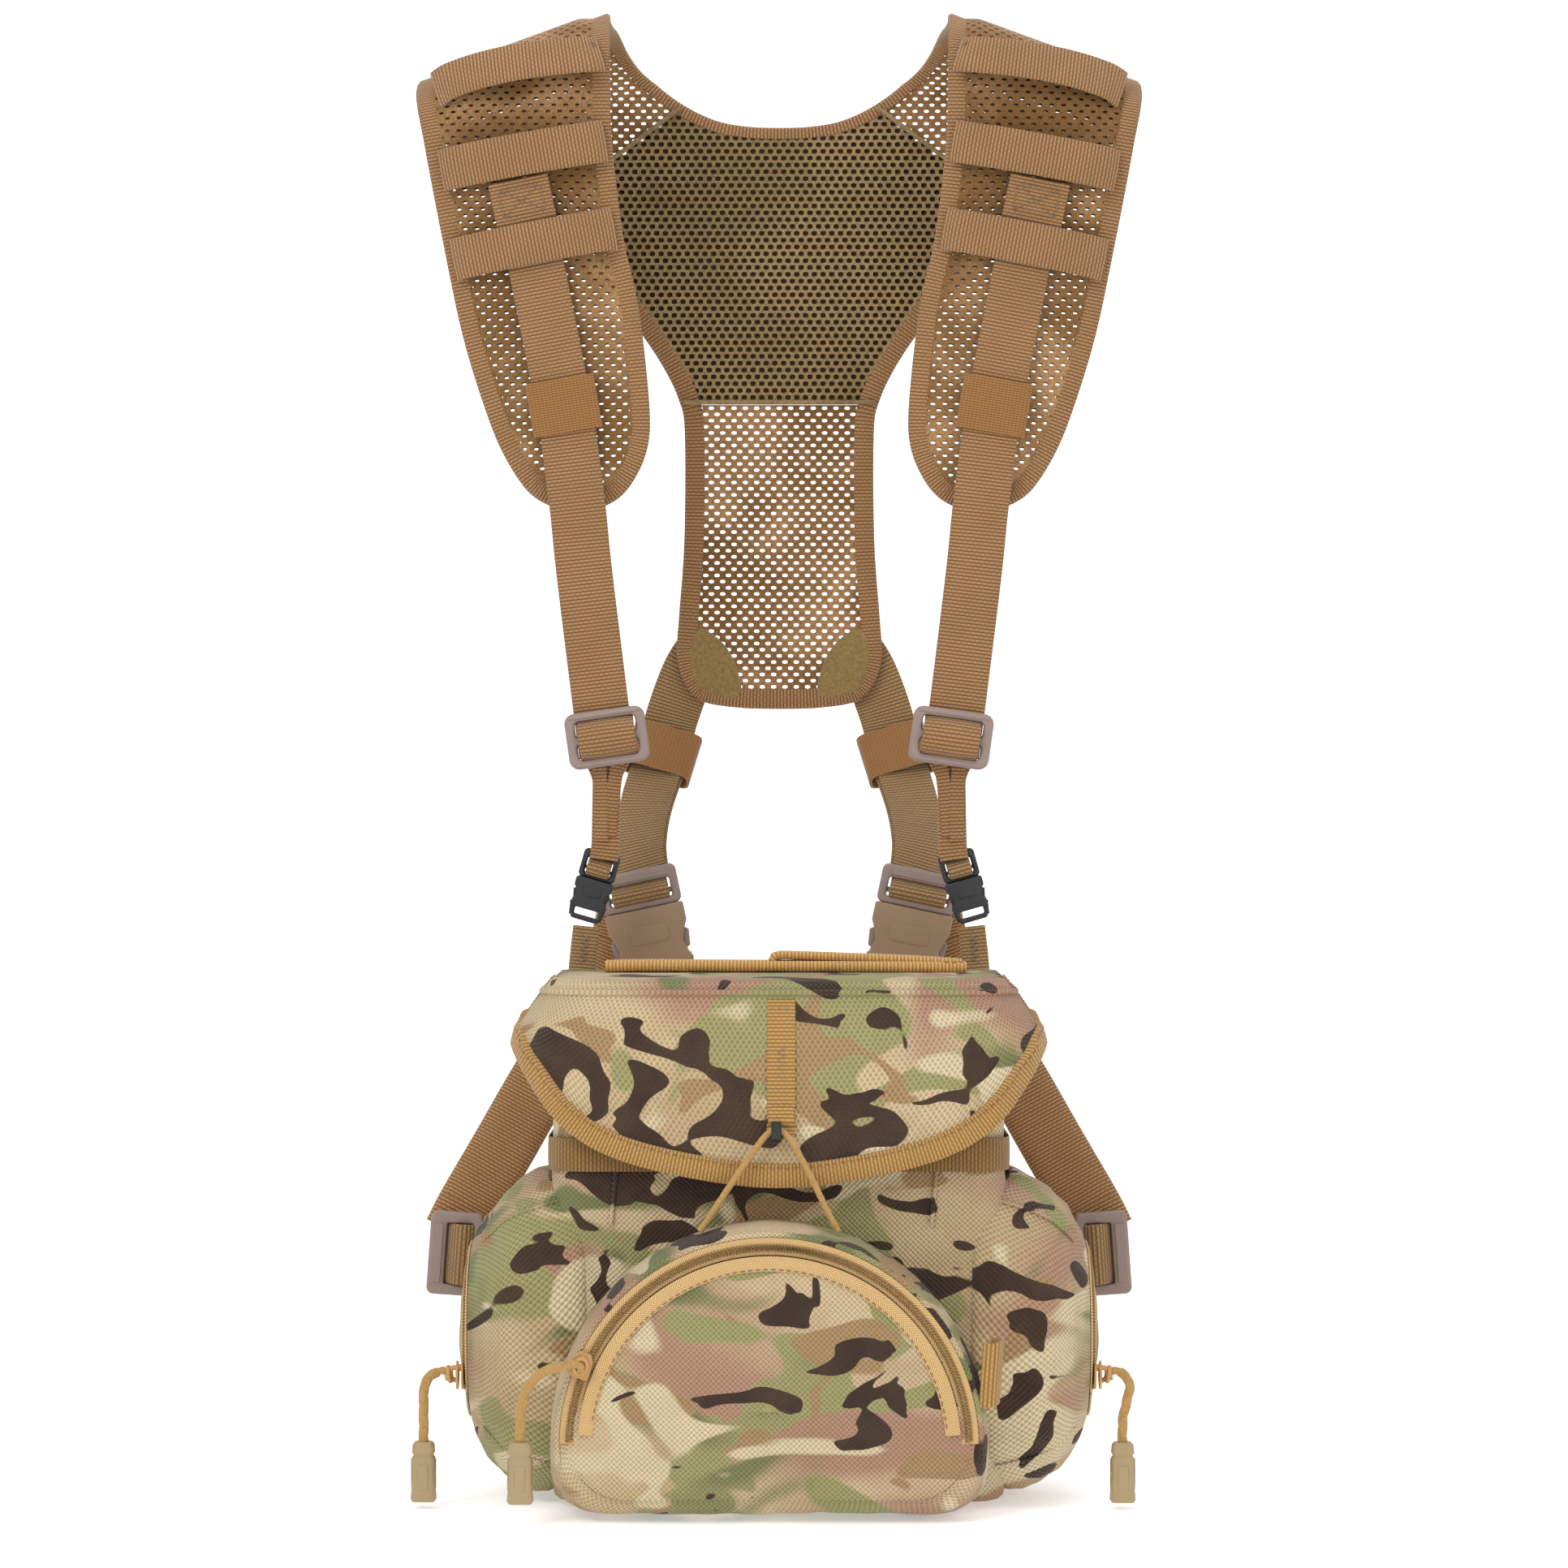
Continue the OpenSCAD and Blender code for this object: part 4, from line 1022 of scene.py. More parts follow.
def side_pocket(name, side):
    levels = np.array(SIDE_LEVELS)
    s = walked(levels[:, [0, 4]])
    at = np.linspace(0, s[-1], SIDE_ROWS)
    rows = [side_ring(*[np.interp(q, s, levels[:, k]) for k in range(6)]) for q in at]
    outer = np.array(rows)
    flat = outer.reshape(-1, 3)
    fold = wrinkle(flat, 22, 3.0 + side) + 0.8 * wrinkle(flat * np.array([0.5, 1, 1]), 9, 8.0 + side)
    fold = fold.reshape(outer.shape[:2]) * smooth(0, 5, np.arange(SIDE_ROWS))[:, None]
    fold = fold * smooth(SIDE_ROWS - 1, 19, np.arange(SIDE_ROWS))[:, None]
    middle = np.array([105, SIDE_C[0] + 4, SIDE_C[1]])
    outer = outer + unit(outer - middle) * fold[..., None] * 1.9
    outer[..., 0] -= wrap(outer)
    ring_c = np.array([SIDE_X + 1.5, SIDE_C[0], SIDE_C[1]])
    a = round_angles(SIDE_N)
    rim = ring_c + np.column_stack([np.zeros(SIDE_N), 37.0 * np.cos(a), 37.0 * np.sin(a)])
    outer = np.concatenate([outer, rim[None]])
    inner = outer[::-1].copy()
    centre = np.array([97, SIDE_C[0], SIDE_C[1]])
    inner = centre + (inner - centre) * np.array([0.93, 0.95, 0.95])
    shell = grid_part(np.concatenate([outer, inner]), around=True)
    piece(f"{name}_side_pocket_v", [shell], CAMO, nodes=once(side, "side_pockets"),
          side=side)
    seam = np.array([side_ring(*[np.interp(q, s, levels[:, k]) for k in range(6)]) for q in at])
    seam[..., 0] -= wrap(seam)
    lines = [tube_part(seam[1:20, k] + unit(seam[1:20, k] - middle) * 0.5, 0.8, 7) for k in (68, 40)]
    piece(f"{name}_side_seams_v", lines, CAMO, side=side)
    x = SIDE_X + 2.0
    circle = side_arc(x, 34, -40, 220, 100)
    piece(f"{name}_side_tape_v", [flat_band(circle, 7.6, 0.8, (1, 0, 0))], TWILL,
          nodes=once(side, "side_zippers"), side=side)
    foot = side_arc(x + 0.2, 33.5, 216, 324, 50)
    piece(f"{name}_side_foot_v", [flat_band(foot, 8.4, 1.0, (1, 0, 0))], CAMO, side=side)
    piece(f"{name}_side_coil_v", coil(circle + np.array([0.5, 0, 0]), (0, 0, 1), (1, 0, 0)), COIL,
          side=side)
    side_door(name, side, a)


def side_door(name, side, a):
    rows = []
    for share in np.sin(np.linspace(0.03, 1, DOOR_ROWS) * math.pi / 2):
        r = 29.9 * share
        rows.append(np.column_stack([np.full(SIDE_N, SIDE_X + 6.8 - 3.6 * share**2.2),
                                     SIDE_C[0] + r * np.cos(a), SIDE_C[1] + r * np.sin(a)]))
    outer = np.array(rows)
    folds = wrinkle(outer.reshape(-1, 3), 12, 5.0).reshape(DOOR_ROWS, SIDE_N)
    outer[..., 0] += 0.7 * folds * smooth(DOOR_ROWS - 1, 11, np.arange(DOOR_ROWS))[:, None]
    inner = outer[::-1] - np.array([2.0, 0, 0])
    both = np.concatenate([outer, inner])
    wide = np.concatenate([both, both[:, :1]], 1)
    part = solid_part(both, wide[..., 1:])
    door = piece(f"{name}_side_door_v", [part], CAMO, None, [f"{name}_door"], side=side)
    trim = side_arc(SIDE_X + 3.9, 27.4, -30, 210, 90)
    band = piece(f"{name}_side_trim_v", [flat_band(trim, 4.4, 0.8, (1, 0, 0))], TWILL,
                 None, side=side)
    for obj in (door, band):
        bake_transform(obj)


# ---------------------------------------------------------------- zipper sliders
def slider_parts():
    """Slider that looks along -Y with its nose up: two plates, a bridge and an eye for the pull."""
    stand = turn(90, "X")
    nose = [(-2.6, 5.4), (-4.4, 2.2), (-4.5, -4.6), (-3.2, -5.4), (3.2, -5.4), (4.5, -4.6), (4.4, 2.2),
            (2.6, 5.4)]
    parts = [moved(plate_part(nose, [], 1.1, 0.4, (0, 0, 2.9)), stand)]
    parts.append(moved(plate_part(nose, [], 0.9, 0.35, (0, 0, 0.7)), stand))
    parts.append(block_part((0, -1.9, 3.6), (1.1, 1.2, 1.2), bevel=0.3))
    arch = [(0, -3.2, 3.6), (0, -5.2, 3.2), (0, -5.8, 0.4), (0, -5.2, -2.6), (0, -3.2, -3.4)]
    parts.append(tube_part(catmull(arch, 6), 1.1, 8, facing=(1, 0, 0)))
    ring = [(2.6 * math.cos(a), -6.4 - 0.5 * math.sin(a), 3.3 * math.sin(a))
            for a in np.linspace(0, 2 * math.pi, 25)]
    parts.append(tube_part(np.array(ring), 0.95, 8, facing=(0.1, -1, 0.05)))
    return parts


def sliders():
    front = Matrix.Translation((-82, RING_Y, 64)) @ turn(20, "Y")
    piece("front_slider_v", [moved(p, front) for p in slider_parts()], SLIDER,
          "front_slider", ["front_slider"])
    for name, side in SIDES:
        m = Matrix.Translation((SIDE_X + 3, SIDE_C[0] - 31, 54)) @ turn(90, "Z")
        m = m @ turn(-32, "Y")
        piece(f"{name}_slider_v", [moved(p, m) for p in slider_parts()], SLIDER,
              f"{name}_slider", [f"{name}_slider"], side=side)


# ---------------------------------------------------------------- harness sheets
def shoulder(x, flat_z, depth, back):
    """A point on the sheet that rolls over a shoulder; flat_z is its height on the sheet pulled flat."""
    drop = (x - APEX[0]) * math.sin(SLOPE) + (flat_z - APEX[1]) * math.cos(SLOPE)
    half = 21.5
    s = half + TURN_R * math.pi / 2 - TURN_R - drop
    turn = np.clip((s - half) / TURN_R, 0, math.pi / 2)
    r = TURN_R - depth
    y = PAD_Y + TURN_R - r * np.sin(turn) + np.clip(half - s, 0, half)
    up = np.where(s < half + TURN_R * math.pi / 2, -TURN_R + r * np.cos(turn), drop)
    z = APEX[1] + (up - (x - APEX[0]) * math.sin(SLOPE)) / math.cos(SLOPE)
    if back:
        y = PAD_Y + BACK_FACE_Y - y
    return np.stack(np.broadcast_arrays(x, y, z), -1)


PAD_OUTLINE = [(77, 699), (76, 650), (75.6, 620), (74.8, 592), (69.7, 550), (64.6, 528), (61, 505),
               (58, 474), (58.5, 458), (63, 445), (71, 434), (82, 428.5), (94, 428), (105, 431), (114, 438),
               (124, 454), (132, 474), (142, 507), (151, 550), (159, 592), (163, 618), (163.6, 640),
               (163.6, 668)]
BACK_OUTLINE = [(163.6, 668), (163.4, 640), (162, 622), (152, 600), (128, 574), (100, 551), (78, 533),
                (64.5, 516), (54, 500), (47, 485), (44.3, 470), (44.5, 420), (47, 384), (48, 365),
                (44, 352), (36, 344), (18, 341), (0, 340.5)]
NECKLINE = [(0, 613), (14, 613.5), (30, 616.5), (47, 625), (62, 637.5), (70, 650), (74, 665), (76, 680),
            (77, 699)]


def hole_sheet(outline, surface, pitch, hole, thickness, margin=0.0, rim=None):
    """A knitted net of staggered cells, each with a real hole, inside an outline and clear of the rim."""
    rim = outline if rim is None else rim
    px, pz = pitch
    lo, hi = outline.min(0), outline.max(0)
    rows = range(int(lo[1] / pz) - 1, int(hi[1] / pz) + 2)
    cols = range(int(lo[0] / px) - 2, int(hi[0] / px) + 3)
    cells = np.array([(2 * i + (j % 2), j) for j in rows for i in cols])
    centre = cells * np.array([px / 2, pz])
    keep = inside(centre, outline)
    keep[keep] = edge_distance(centre[keep], rim) > margin
    cells, centre = cells[keep], centre[keep]
    corner = np.array([(-1, -1), (0, -1), (1, -1), (1, 1), (0, 1), (-1, 1)])
    keys = np.column_stack([(cells[:, None, 0] + corner[:, 0]).ravel(),
                            (2 * cells[:, None, 1] + corner[:, 1]).ravel()])
    lattice, index = np.unique(keys, axis=0, return_inverse=True)
    index = index.reshape(-1, 6)
    nodes = lattice * np.array([px / 2, pz / 2])
    angle = np.radians([-140, -90, -40, 40, 90, 140])
    ring = centre[:, None] + np.column_stack([hole[0] / 2 * np.cos(angle), hole[1] / 2 * np.sin(angle)])
    plane = np.vstack([nodes, ring.reshape(-1, 2)])
    depth = edge_distance(plane, rim)
    front = surface(plane[:, 0], plane[:, 1], 0.0, depth)
    back = surface(plane[:, 0], plane[:, 1], thickness, depth)
    total, first = len(plane), len(nodes)
    faces, used = [], {}
    for c in range(len(cells)):
        for k in range(6):
            q = (k + 1) % 6
            a, b = int(index[c, k]), int(index[c, q])
            r0, r1 = first + 6 * c + k, first + 6 * c + q
            faces.append([a, b, r1, r0])
            faces.append([b + total, a + total, r0 + total, r1 + total])
            faces.append([r0, r1, r1 + total, r0 + total])
            edge = (min(a, b), max(a, b))
            used[edge] = None if edge in used else (a, b)
    faces += [[b, a, a + total, b + total] for a, b in (e for e in used.values() if e)]
    pts = np.vstack([front, back])
    flat = np.vstack([plane, plane])
    return pts, faces, [[list(flat[i]) for i in f] for f in faces]


def edge_strip(line, surface_pair, width, half, inward=1):
    """Folded binding round the edge of a sheet; line is its outline on the flat sheet."""
    p = resample(line, 2.2)
    t = unit(np.gradient(p, axis=0))
    n = np.column_stack([-t[:, 1], t[:, 0]]) * inward
    cs = [(width, 0.1), (width - 0.3, 0.95), (1.6, 1.15), (0.2, 0.5), (0, 0), (0.2, -0.5), (1.6, -1.15),
          (width - 0.3, -0.95), (width, -0.1)]
    cs = np.array([(a, half * np.sign(b) * (0.55 if abs(b) < 0.6 else 1) + b * 0.6) for a, b in cs])
    pts = []
    for a, b in cs:
        q = p + n * a
        pts.append(surface_pair(q[:, 0], q[:, 1], b))
    pts = np.array(pts).transpose(1, 0, 2)
    width_at = np.append(walked(cs), walked(cs)[-1])
    uv = grid_uv(walked(p), width_at)
    return solid_part(pts, uv)


def pad_surface(x, z, inset, depth):
    """The pad's front face, thinner towards its edge."""
    face = 4.4 - 3.4 * smooth(2, 16, depth)
    return shoulder(x, z, face + inset, False)


def pad_back_surface(x, z, inset, depth):
    face = 6.2 + 1.4 * smooth(2, 16, depth)
    return shoulder(x, z, face - inset, False)


def shoulder_pads():
    outline = catmull(PAD_OUTLINE, 5)
    for name, side in SIDES:
        parts = [hole_sheet(outline, pad_surface, (5.3, 2.9), (2.7, 1.55), 0.8, 3.6)]
        pad = piece(f"{name}_shoulder_pad_v", parts, OPEN_MESH, "pack",
                    [f"{name}_shoulder_pad"], side=side, flat=True)
        inner = [hole_sheet(outline + np.array([1.3, 0.7]), pad_back_surface, (5.3, 2.9), (2.9, 1.6), 0.8,
                            4.6)]
        piece(f"{name}_pad_inner_mesh_v", inner, OPEN_MESH, "pack", side=side, flat=True)
        edge = [edge_strip(outline, lambda x, z, b: shoulder(x, z, 5.2 - b, False), 9.0, 1.5)]
        piece(f"{name}_pad_binding_v", edge, COYOTE,
              nodes=once(side, "pad_bindings"), side=side)
        pad_loops(name, side)
        shoulder_strap(name, side)


def pad_loops(name, side):
    """Three bands of webbing that bulge off the pad between bar-tacks."""
    parts, thread = [], []
    for (x0, z0), (x1, z1) in PAD_LOOPS:
        a, b = np.array([x0 - 2.0, z0 + 0.4]), np.array([x1 + 3.5, z1 - 0.6])
        t = np.linspace(0, 1, 15)
        flat = a + (b - a) * t[:, None]
        lift = 7.6 * np.clip(np.sin(np.pi * t), 0, 1) ** 0.55
        pts = shoulder(flat[:, 0], flat[:, 1], 0.0, False)
        ahead = shoulder(flat[:, 0], flat[:, 1], -1.0, False) - pts
        path = pts + ahead * lift[:, None]
        facing = unit(ahead.mean(0))
        parts.append(ribbon_part(path, 19, 1.7, facing, step=1.5, crown=0.5))
        for q, s in ((0, 1), (-1, -1)):
            spot = path[q] + np.array([3.2 * s, -1.0, 0])
            thread += zigzag([spot - np.array([0, 0, 7.5]), spot + np.array([0, 0, 7.5])], (1, 0, 0), 1.1,
                             facing)
    piece(f"{name}_pad_loops_v", parts, COYOTE, nodes=once(side, "pad_loops"), side=side)
    piece(f"{name}_pad_loop_thread_v", thread, THREAD, side=side)


def shoulder_strap(name, side):
    top = [(115.4, 17.6, 571), (113.2, 17.4, 560)]
    parts = [ribbon_part(top[:1] + SHOULDER_STRAP[1:], WEBBING_W, 1.9)]
    parts.append(ribbon_part([(116.5, 15.4, 575), (112.5, 15.2, 556)], 27, 1.4))
    piece(f"{name}_shoulder_strap_v", parts, COYOTE,
          nodes=once(side, "shoulder_straps"), side=side)
    thread = box_stitch((114.6, 14.4, 565.5), (0.98, 0, -0.2), (0.2, 0, 0.98), 9.5, 6, (0, -1, 0))
    piece(f"{name}_strap_thread_v", thread, THREAD, side=side)


def back_outline_half():
    return np.vstack([catmull(NECKLINE, 5), catmull(BACK_OUTLINE, 5)[1:]])


def full_outline():
    half = back_outline_half()
    other = (half * np.array([-1, 1]))[::-1]
    return np.vstack([half, other[1:-1]])


def back_surface(shift, puff=0.0):
    """A layer of the back sheet at a distance from its outer face, fuller away from the edge."""
    def at(x, z, inset, depth):
        side = np.where(x < 0, -1.0, 1.0)
        pts = shoulder(np.abs(x), z, shift + puff * smooth(2, 18, depth) - inset, True)
        return pts * np.stack([side, np.ones_like(x), np.ones_like(x)], -1)
    return at


def zone_outline(kind):
    if kind == "pad":
        return np.array([(-77, 599), (-80, 596), (-79, 530), (-64.5, 512), (-52, 496), (-45, 484),
                         (45, 484), (52, 496), (64.5, 512), (79, 530), (80, 596), (77, 599), (47, 622),
                         (30, 613.5), (14, 611), (-14, 611), (-30, 613.5), (-47, 622)])[::-1]
    return np.array([(-43, 484), (-42, 470), (-42, 420), (-44, 384), (-45, 365), (-36, 346), (-18, 343),
                     (18, 343), (36, 346), (45, 365), (44, 384), (42, 420), (42, 470), (43, 484)])[::-1]


def yoke():
    pad_zone = zone_outline("pad")
    rim = full_outline()
    parts = [hole_sheet(pad_zone, back_surface(6.2, 1.6), (4.1, 3.2), (3.3, 2.5), 1.4, 3.2, rim)]
    pad = piece("yoke_pad_v", parts, SPACER, "pack", ["yoke_pad"], flat=True)
    backing = hole_sheet(pad_zone, back_surface(4.6, 1.4), (4.1, 3.2), (0.3, 0.3), 3.0, 4.5, rim)
    outside = hole_sheet(pad_zone, back_surface(1.8, 0.4), (4.1, 3.2), (2.0, 1.5), 1.0, 3.2, rim)
    piece("yoke_pad_outside_v", [outside], SPACER, "pack", flat=True)
    piece("yoke_core_v", [backing], SPACER_DARK, "pack")
    net = zone_outline("net")
    piece("back_mesh_v", [hole_sheet(net, back_surface(7.0), (5.3, 2.9), (3.1, 1.75), 0.9, 3.4, rim)],
          OPEN_MESH, "pack", ["back_mesh"], flat=True)
    bridge = np.array([(80, 596), (47, 622), (62, 634), (70, 648), (74, 663), (76, 680), (78, 699),
                       (163, 668),
                       (162, 640), (160, 622), (150, 601), (127, 577), (99, 554), (80, 538)])[::-1]
    for name, side in SIDES:
        part = hole_sheet(bridge, back_surface(6.0), (5.3, 2.9), (2.9, 1.65), 0.9, 3.2, rim)
        piece(f"{name}_shoulder_bridge_v", [part], OPEN_MESH, "pack",
              once(side, "shoulder_bridges"), side=side, flat=True)
        shoulder_seams(name, side)
    yoke_bindings()


def shoulder_seams(name, side):
    """The tape that joins each front pad to the sheet of the back along the shoulder's ridge."""
    across = np.linspace(80, 161, 40)
    rows = []
    for depth, y in ((1.0, 64), (1.0, 79), (8.2, 79), (8.2, 64)):
        crest = shoulder(across, 800 + 0 * across, depth, False)
        rows.append(np.stack([across, np.full_like(across, y), crest[:, 2]], -1))
    parts = [solid_part(np.array(rows).transpose(1, 0, 2))]
    piece(f"{name}_shoulder_seam_v", parts, COYOTE, side=side)


def yoke_bindings():
    neck = catmull(NECKLINE, 5)
    neck = np.vstack([(neck * np.array([-1, 1]))[::-1], neck[1:]])
    side_line = catmull(BACK_OUTLINE, 5)
    lower = np.vstack([side_line, ((side_line * np.array([-1, 1]))[::-1])[1:]])

    def layer(x, z, b):
        side = np.where(x < 0, -1.0, 1.0)
        deep = 4.6 + 1.6 * smooth(500, 470, z)
        pts = shoulder(np.abs(x), z, deep + b, True)
        return pts * np.stack([side, np.ones_like(x), np.ones_like(x)], -1)

    parts = [edge_strip(neck, layer, 5.6, 1.6, inward=-1), edge_strip(lower, layer, 9.2, 1.4, inward=-1)]
    piece("yoke_binding_v", parts, COYOTE, nodes=["yoke_binding"])
    seams = []
    for path in ([(-78, 598), (-46, 622)], [(46, 622), (78, 598)], [(-45, 484), (45, 484)]):
        q = resample(np.array(path, float), 2)
        pts = back_surface(8.2)(q[:, 0], q[:, 1], 0.0, np.zeros(len(q)))
        seams.append(tube_part(pts, 1.1, 8))
    piece("yoke_seams_v", seams, SPACER)
    patches = []
    for side in (-1, 1):
        corner = [(19, 346), (37, 350), (42, 366), (38, 378), (27, 372), (20, 360)]
        line = catmull(corner, 5, closed=True)
        mid = line.mean(0)
        rows = [mid + (line - mid) * q for q in (0.05, 0.3, 0.55, 0.8, 0.97, 1.0)]
        top = np.array([back_surface(8.4 - (0.8 if q == 5 else 0))(r[:, 0], r[:, 1], 0.0, np.zeros(len(r)))
                        for q, r in enumerate(rows)])
        low = top[::-1] + np.array([0, 1.4, 0])
        patches.append(mirrored(solid_part(np.concatenate([top, low])), side))
    piece("yoke_patches_v", patches, HOOK_PATCH)


# ---------------------------------------------------------------- straps, tabs and keepers
def body_straps():
    for name, side in SIDES:
        low = [ribbon_part([(33, 121.2, 372), (42, 121, 359)] + LOWER_BACK[2:], WEBBING_W, 1.4,
                           (0.2, -1, -0.3))]
        over = [(x + 0.9, y - 1.7, z - 0.3) for x, y, z in LOWER_BACK[3:]]
        low.append(ribbon_part(over, WEBBING_W - 0.6, 1.3, (0.25, -1, -0.3)))
        obj = piece(f"{name}_lower_back_strap_v", low, OLIVE_COYOTE, None,
                    once(side, "lower_back_straps"), side=side)
        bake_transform(obj)
        strap = [ribbon_part(SIDE_STRAP, 29, 3.6, (-0.1, -1, 0.25), crown=0.6)]
        edge = [(x, y - 2.0, z) for x, y, z in SIDE_STRAP[1:-1]]
        strap.append(ribbon_part(edge, 24, 1.0, (-0.1, -1, 0.25)))
        obj = piece(f"{name}_side_strap_v", strap, DARK_COYOTE, None,
                    once(side, "side_straps"), side=side)
        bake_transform(obj)
        piece(f"{name}_corner_strap_v", [ribbon_part(CORNER_STRAP, 12, 1.9, step=1.5)], OLIVE_COYOTE,
              nodes=once(side, "corner_straps"), side=side)
        thread = zigzag([(86.6, 21.4, 238), (87.6, 19.4, 226)], (1, 0, 0), 1.5, (0, -1, 0))
        piece(f"{name}_corner_thread_v", thread, GREY_THREAD, side=side)
        folded_tab(name, side)


def folded_tab(name, side):
    """The strap's end, folded to half its width, sewn, and looped on the small buckle."""
    path = [(76.8, 19.0, 321), (76.9, 19.6, 312), (77.2, 20.4, 298), (77.6, 21.0, 279), (78.4, 21.2, 271.5)]
    p = resample(catmull(path, 8), 1.5)
    s = walked(p) / walked(p)[-1]
    half = 6.3 + 5.6 * smooth(0.32, 0.0, s)
    _, w, f = frames(p, (0, -1, 0))
    cs = np.array([(1, 0), (0.96, 0.9), (0.4, 1.1), (0, 1.2), (-0.4, 1.1), (-0.96, 0.9), (-1, 0),
                   (-0.96, -0.9), (0, -1.0), (0.96, -0.9)])
    pts = p[:, None] + (cs[None, :, :1] * half[:, None, None]) * w[:, None] + cs[None, :, 1:] * f[:, None]
    uv = grid_uv(walked(p), np.append(cs[:, 0], 1.0) * 6.5 + 6.5)
    parts = [solid_part(pts, uv)]
    flap = [(80.4, 17.6, 316), (79.6, 18.4, 302), (79.4, 19.4, 280)]
    parts.append(ribbon_part(flap, 6.6, 1.0, (0.25, -1, 0), step=1.5))
    fan = [(71.5, 17.8, 317), (73.6, 18.4, 305), (75.8, 19.4, 282)]
    parts.append(ribbon_part(fan, 6.4, 1.0, (-0.25, -1, 0), step=1.5))
    obj = piece(f"{name}_folded_tab_v", parts, COYOTE, None,
                once(side, "folded_tabs"), side=side)
    thread = zigzag([(77.2, 17.7, 306), (77.5, 19.3, 285)], (1, 0, 0), 0.9, (0, -1, 0), pitch=1.2)
    sewn = piece(f"{name}_folded_thread_v", thread, GREY_THREAD, None, side=side)
    for item in (obj, sewn):
        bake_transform(item)


def band_round(matrix, width, gap, height):
    """An elastic loop round a strap: an oval tube, open at both ends."""
    def ring(half, thick, z):
        a = round_angles(56)
        c = squared(np.cos(a), 0.35) * half
        s = squared(np.sin(a), 0.6) * thick
        return np.column_stack([c, s, np.full(56, z)])
    zs = np.linspace(-height / 2, height / 2, 14)
    outer = [ring(width / 2, gap / 2 + 1.4 - 0.25 * abs(2 * k / height) ** 4, k) for k in zs]
    inner = [ring(width / 2 - 1.2, gap / 2 + 0.3, k) for k in zs[::-1]]
    rings = np.array(outer + inner + outer[:1])
    return moved(grid_part(rings, around=True), matrix)


def keepers():
    for name, side in SIDES:
        m = Matrix.Translation((96, 16, 474)) @ turn(9.6, "Y")
        piece(f"{name}_pad_keeper_v", [band_round(m, 31, 3.2, 24)], ELASTIC, f"{name}_pad_keeper",
              [f"{name}_pad_keeper"], side=side)
        m = Matrix.Translation((54.8, 111.6, 319.5)) @ turn(-33, "X") @ turn(166, "Y") @ turn(8, "Z")
        piece(f"{name}_back_keeper_v", [band_round(m, 32.6, 9.6, 24)], ELASTIC,
              f"{name}_back_keeper", [f"{name}_back_keeper"], side=side)


# ---------------------------------------------------------------- adjusters and buckles
def adjusters():
    """Moulded ladder frame with the strap's roll through both slots."""
    for name, side in SIDES:
        m = Matrix.Translation((76.6, 12.4, 326)) @ turn(8, "Y")
        m = m @ turn(90, "X")
        holes = [round_rect(-13.6, 1.4, 13.6, 8.8, 2), round_rect(-13.6, -8.8, 13.6, -1.4, 2)]
        parts = [plate_part(round_rect(-18, -12.5, 18, 12.5, 4.5), holes, 4.2, 1.3)]
        parts.append(plate_part(round_rect(-16.4, 9.6, 16.4, 11.8, 1), [], 5.2, 1.0))
        parts.append(plate_part(round_rect(-16.4, -11.8, 16.4, -9.6, 1), [], 5.2, 1.0))
        piece(f"{name}_adjuster_v", [moved(p, m) for p in parts], TAUPE, f"{name}_adjuster",
              [f"{name}_adjuster"], side=side)
        roll = [(0, 8.6, -3.4), (0, 7.6, -0.6), (0, 4.8, 3.0), (0, 0, 4.6), (0, -4.8, 3.4), (0, -7.8, -0.4),
                (0, -8.6, -3.4)]
        part = ribbon_part(roll, 25.6, 2.0, facing=(0, 0, 1), step=0.8, crown=0.5)
        piece(f"{name}_adjuster_roll_v", [moved(part, m)], COYOTE, f"{name}_adjuster",
              side=side)


def male_parts(w, t, frame_h, reach, bar):
    """The half with the prongs: a frame for the webbing, two sprung side arms and a guide."""
    top = frame_h - bar * 1.25
    outer = round_rect(-w / 2, 0, w / 2, frame_h, min(3.0, w * 0.12))
    slot = round_rect(-w / 2 + bar * 0.8, bar * 0.7, w / 2 - bar * 0.8, top, 1.0)
    parts = [plate_part(outer, [slot], t * 0.86, min(1.1, t * 0.18))]
    parts.append(plate_part(round_rect(-w / 2 + bar * 0.9, top + bar * 0.25, w / 2 - bar * 0.9,
                                       frame_h - bar * 0.2, 0.5), [], t, 0.4))
    parts.append(plate_part(round_rect(-w / 2 + bar * 0.5, top * 0.42, w / 2 - bar * 0.5,
                                       top * 0.42 + bar * 0.5, 0.4), [], t * 0.5, 0.4))
    arm = w / 2 - bar * 0.9
    for s in (-1, 1):
        line = [(s * (arm - bar * 0.4), 1), (s * (arm + bar * 0.25), 1),
                (s * (arm + bar * 0.1), -reach * 0.42), (s * (w / 2 + 0.2), -reach * 0.55),
                (s * (w / 2 - 0.6), -reach * 0.85), (s * (arm - bar * 0.6), -reach),
                (s * (arm - bar * 0.9), -reach * 0.6)]
        parts.append(plate_part(line if s > 0 else line[::-1], [], t * 0.5, 0.5))
    parts.append(plate_part(round_rect(-bar * 0.5, -reach * 0.8, bar * 0.5, 1, 0.5), [], t * 0.4, 0.3))
    return parts


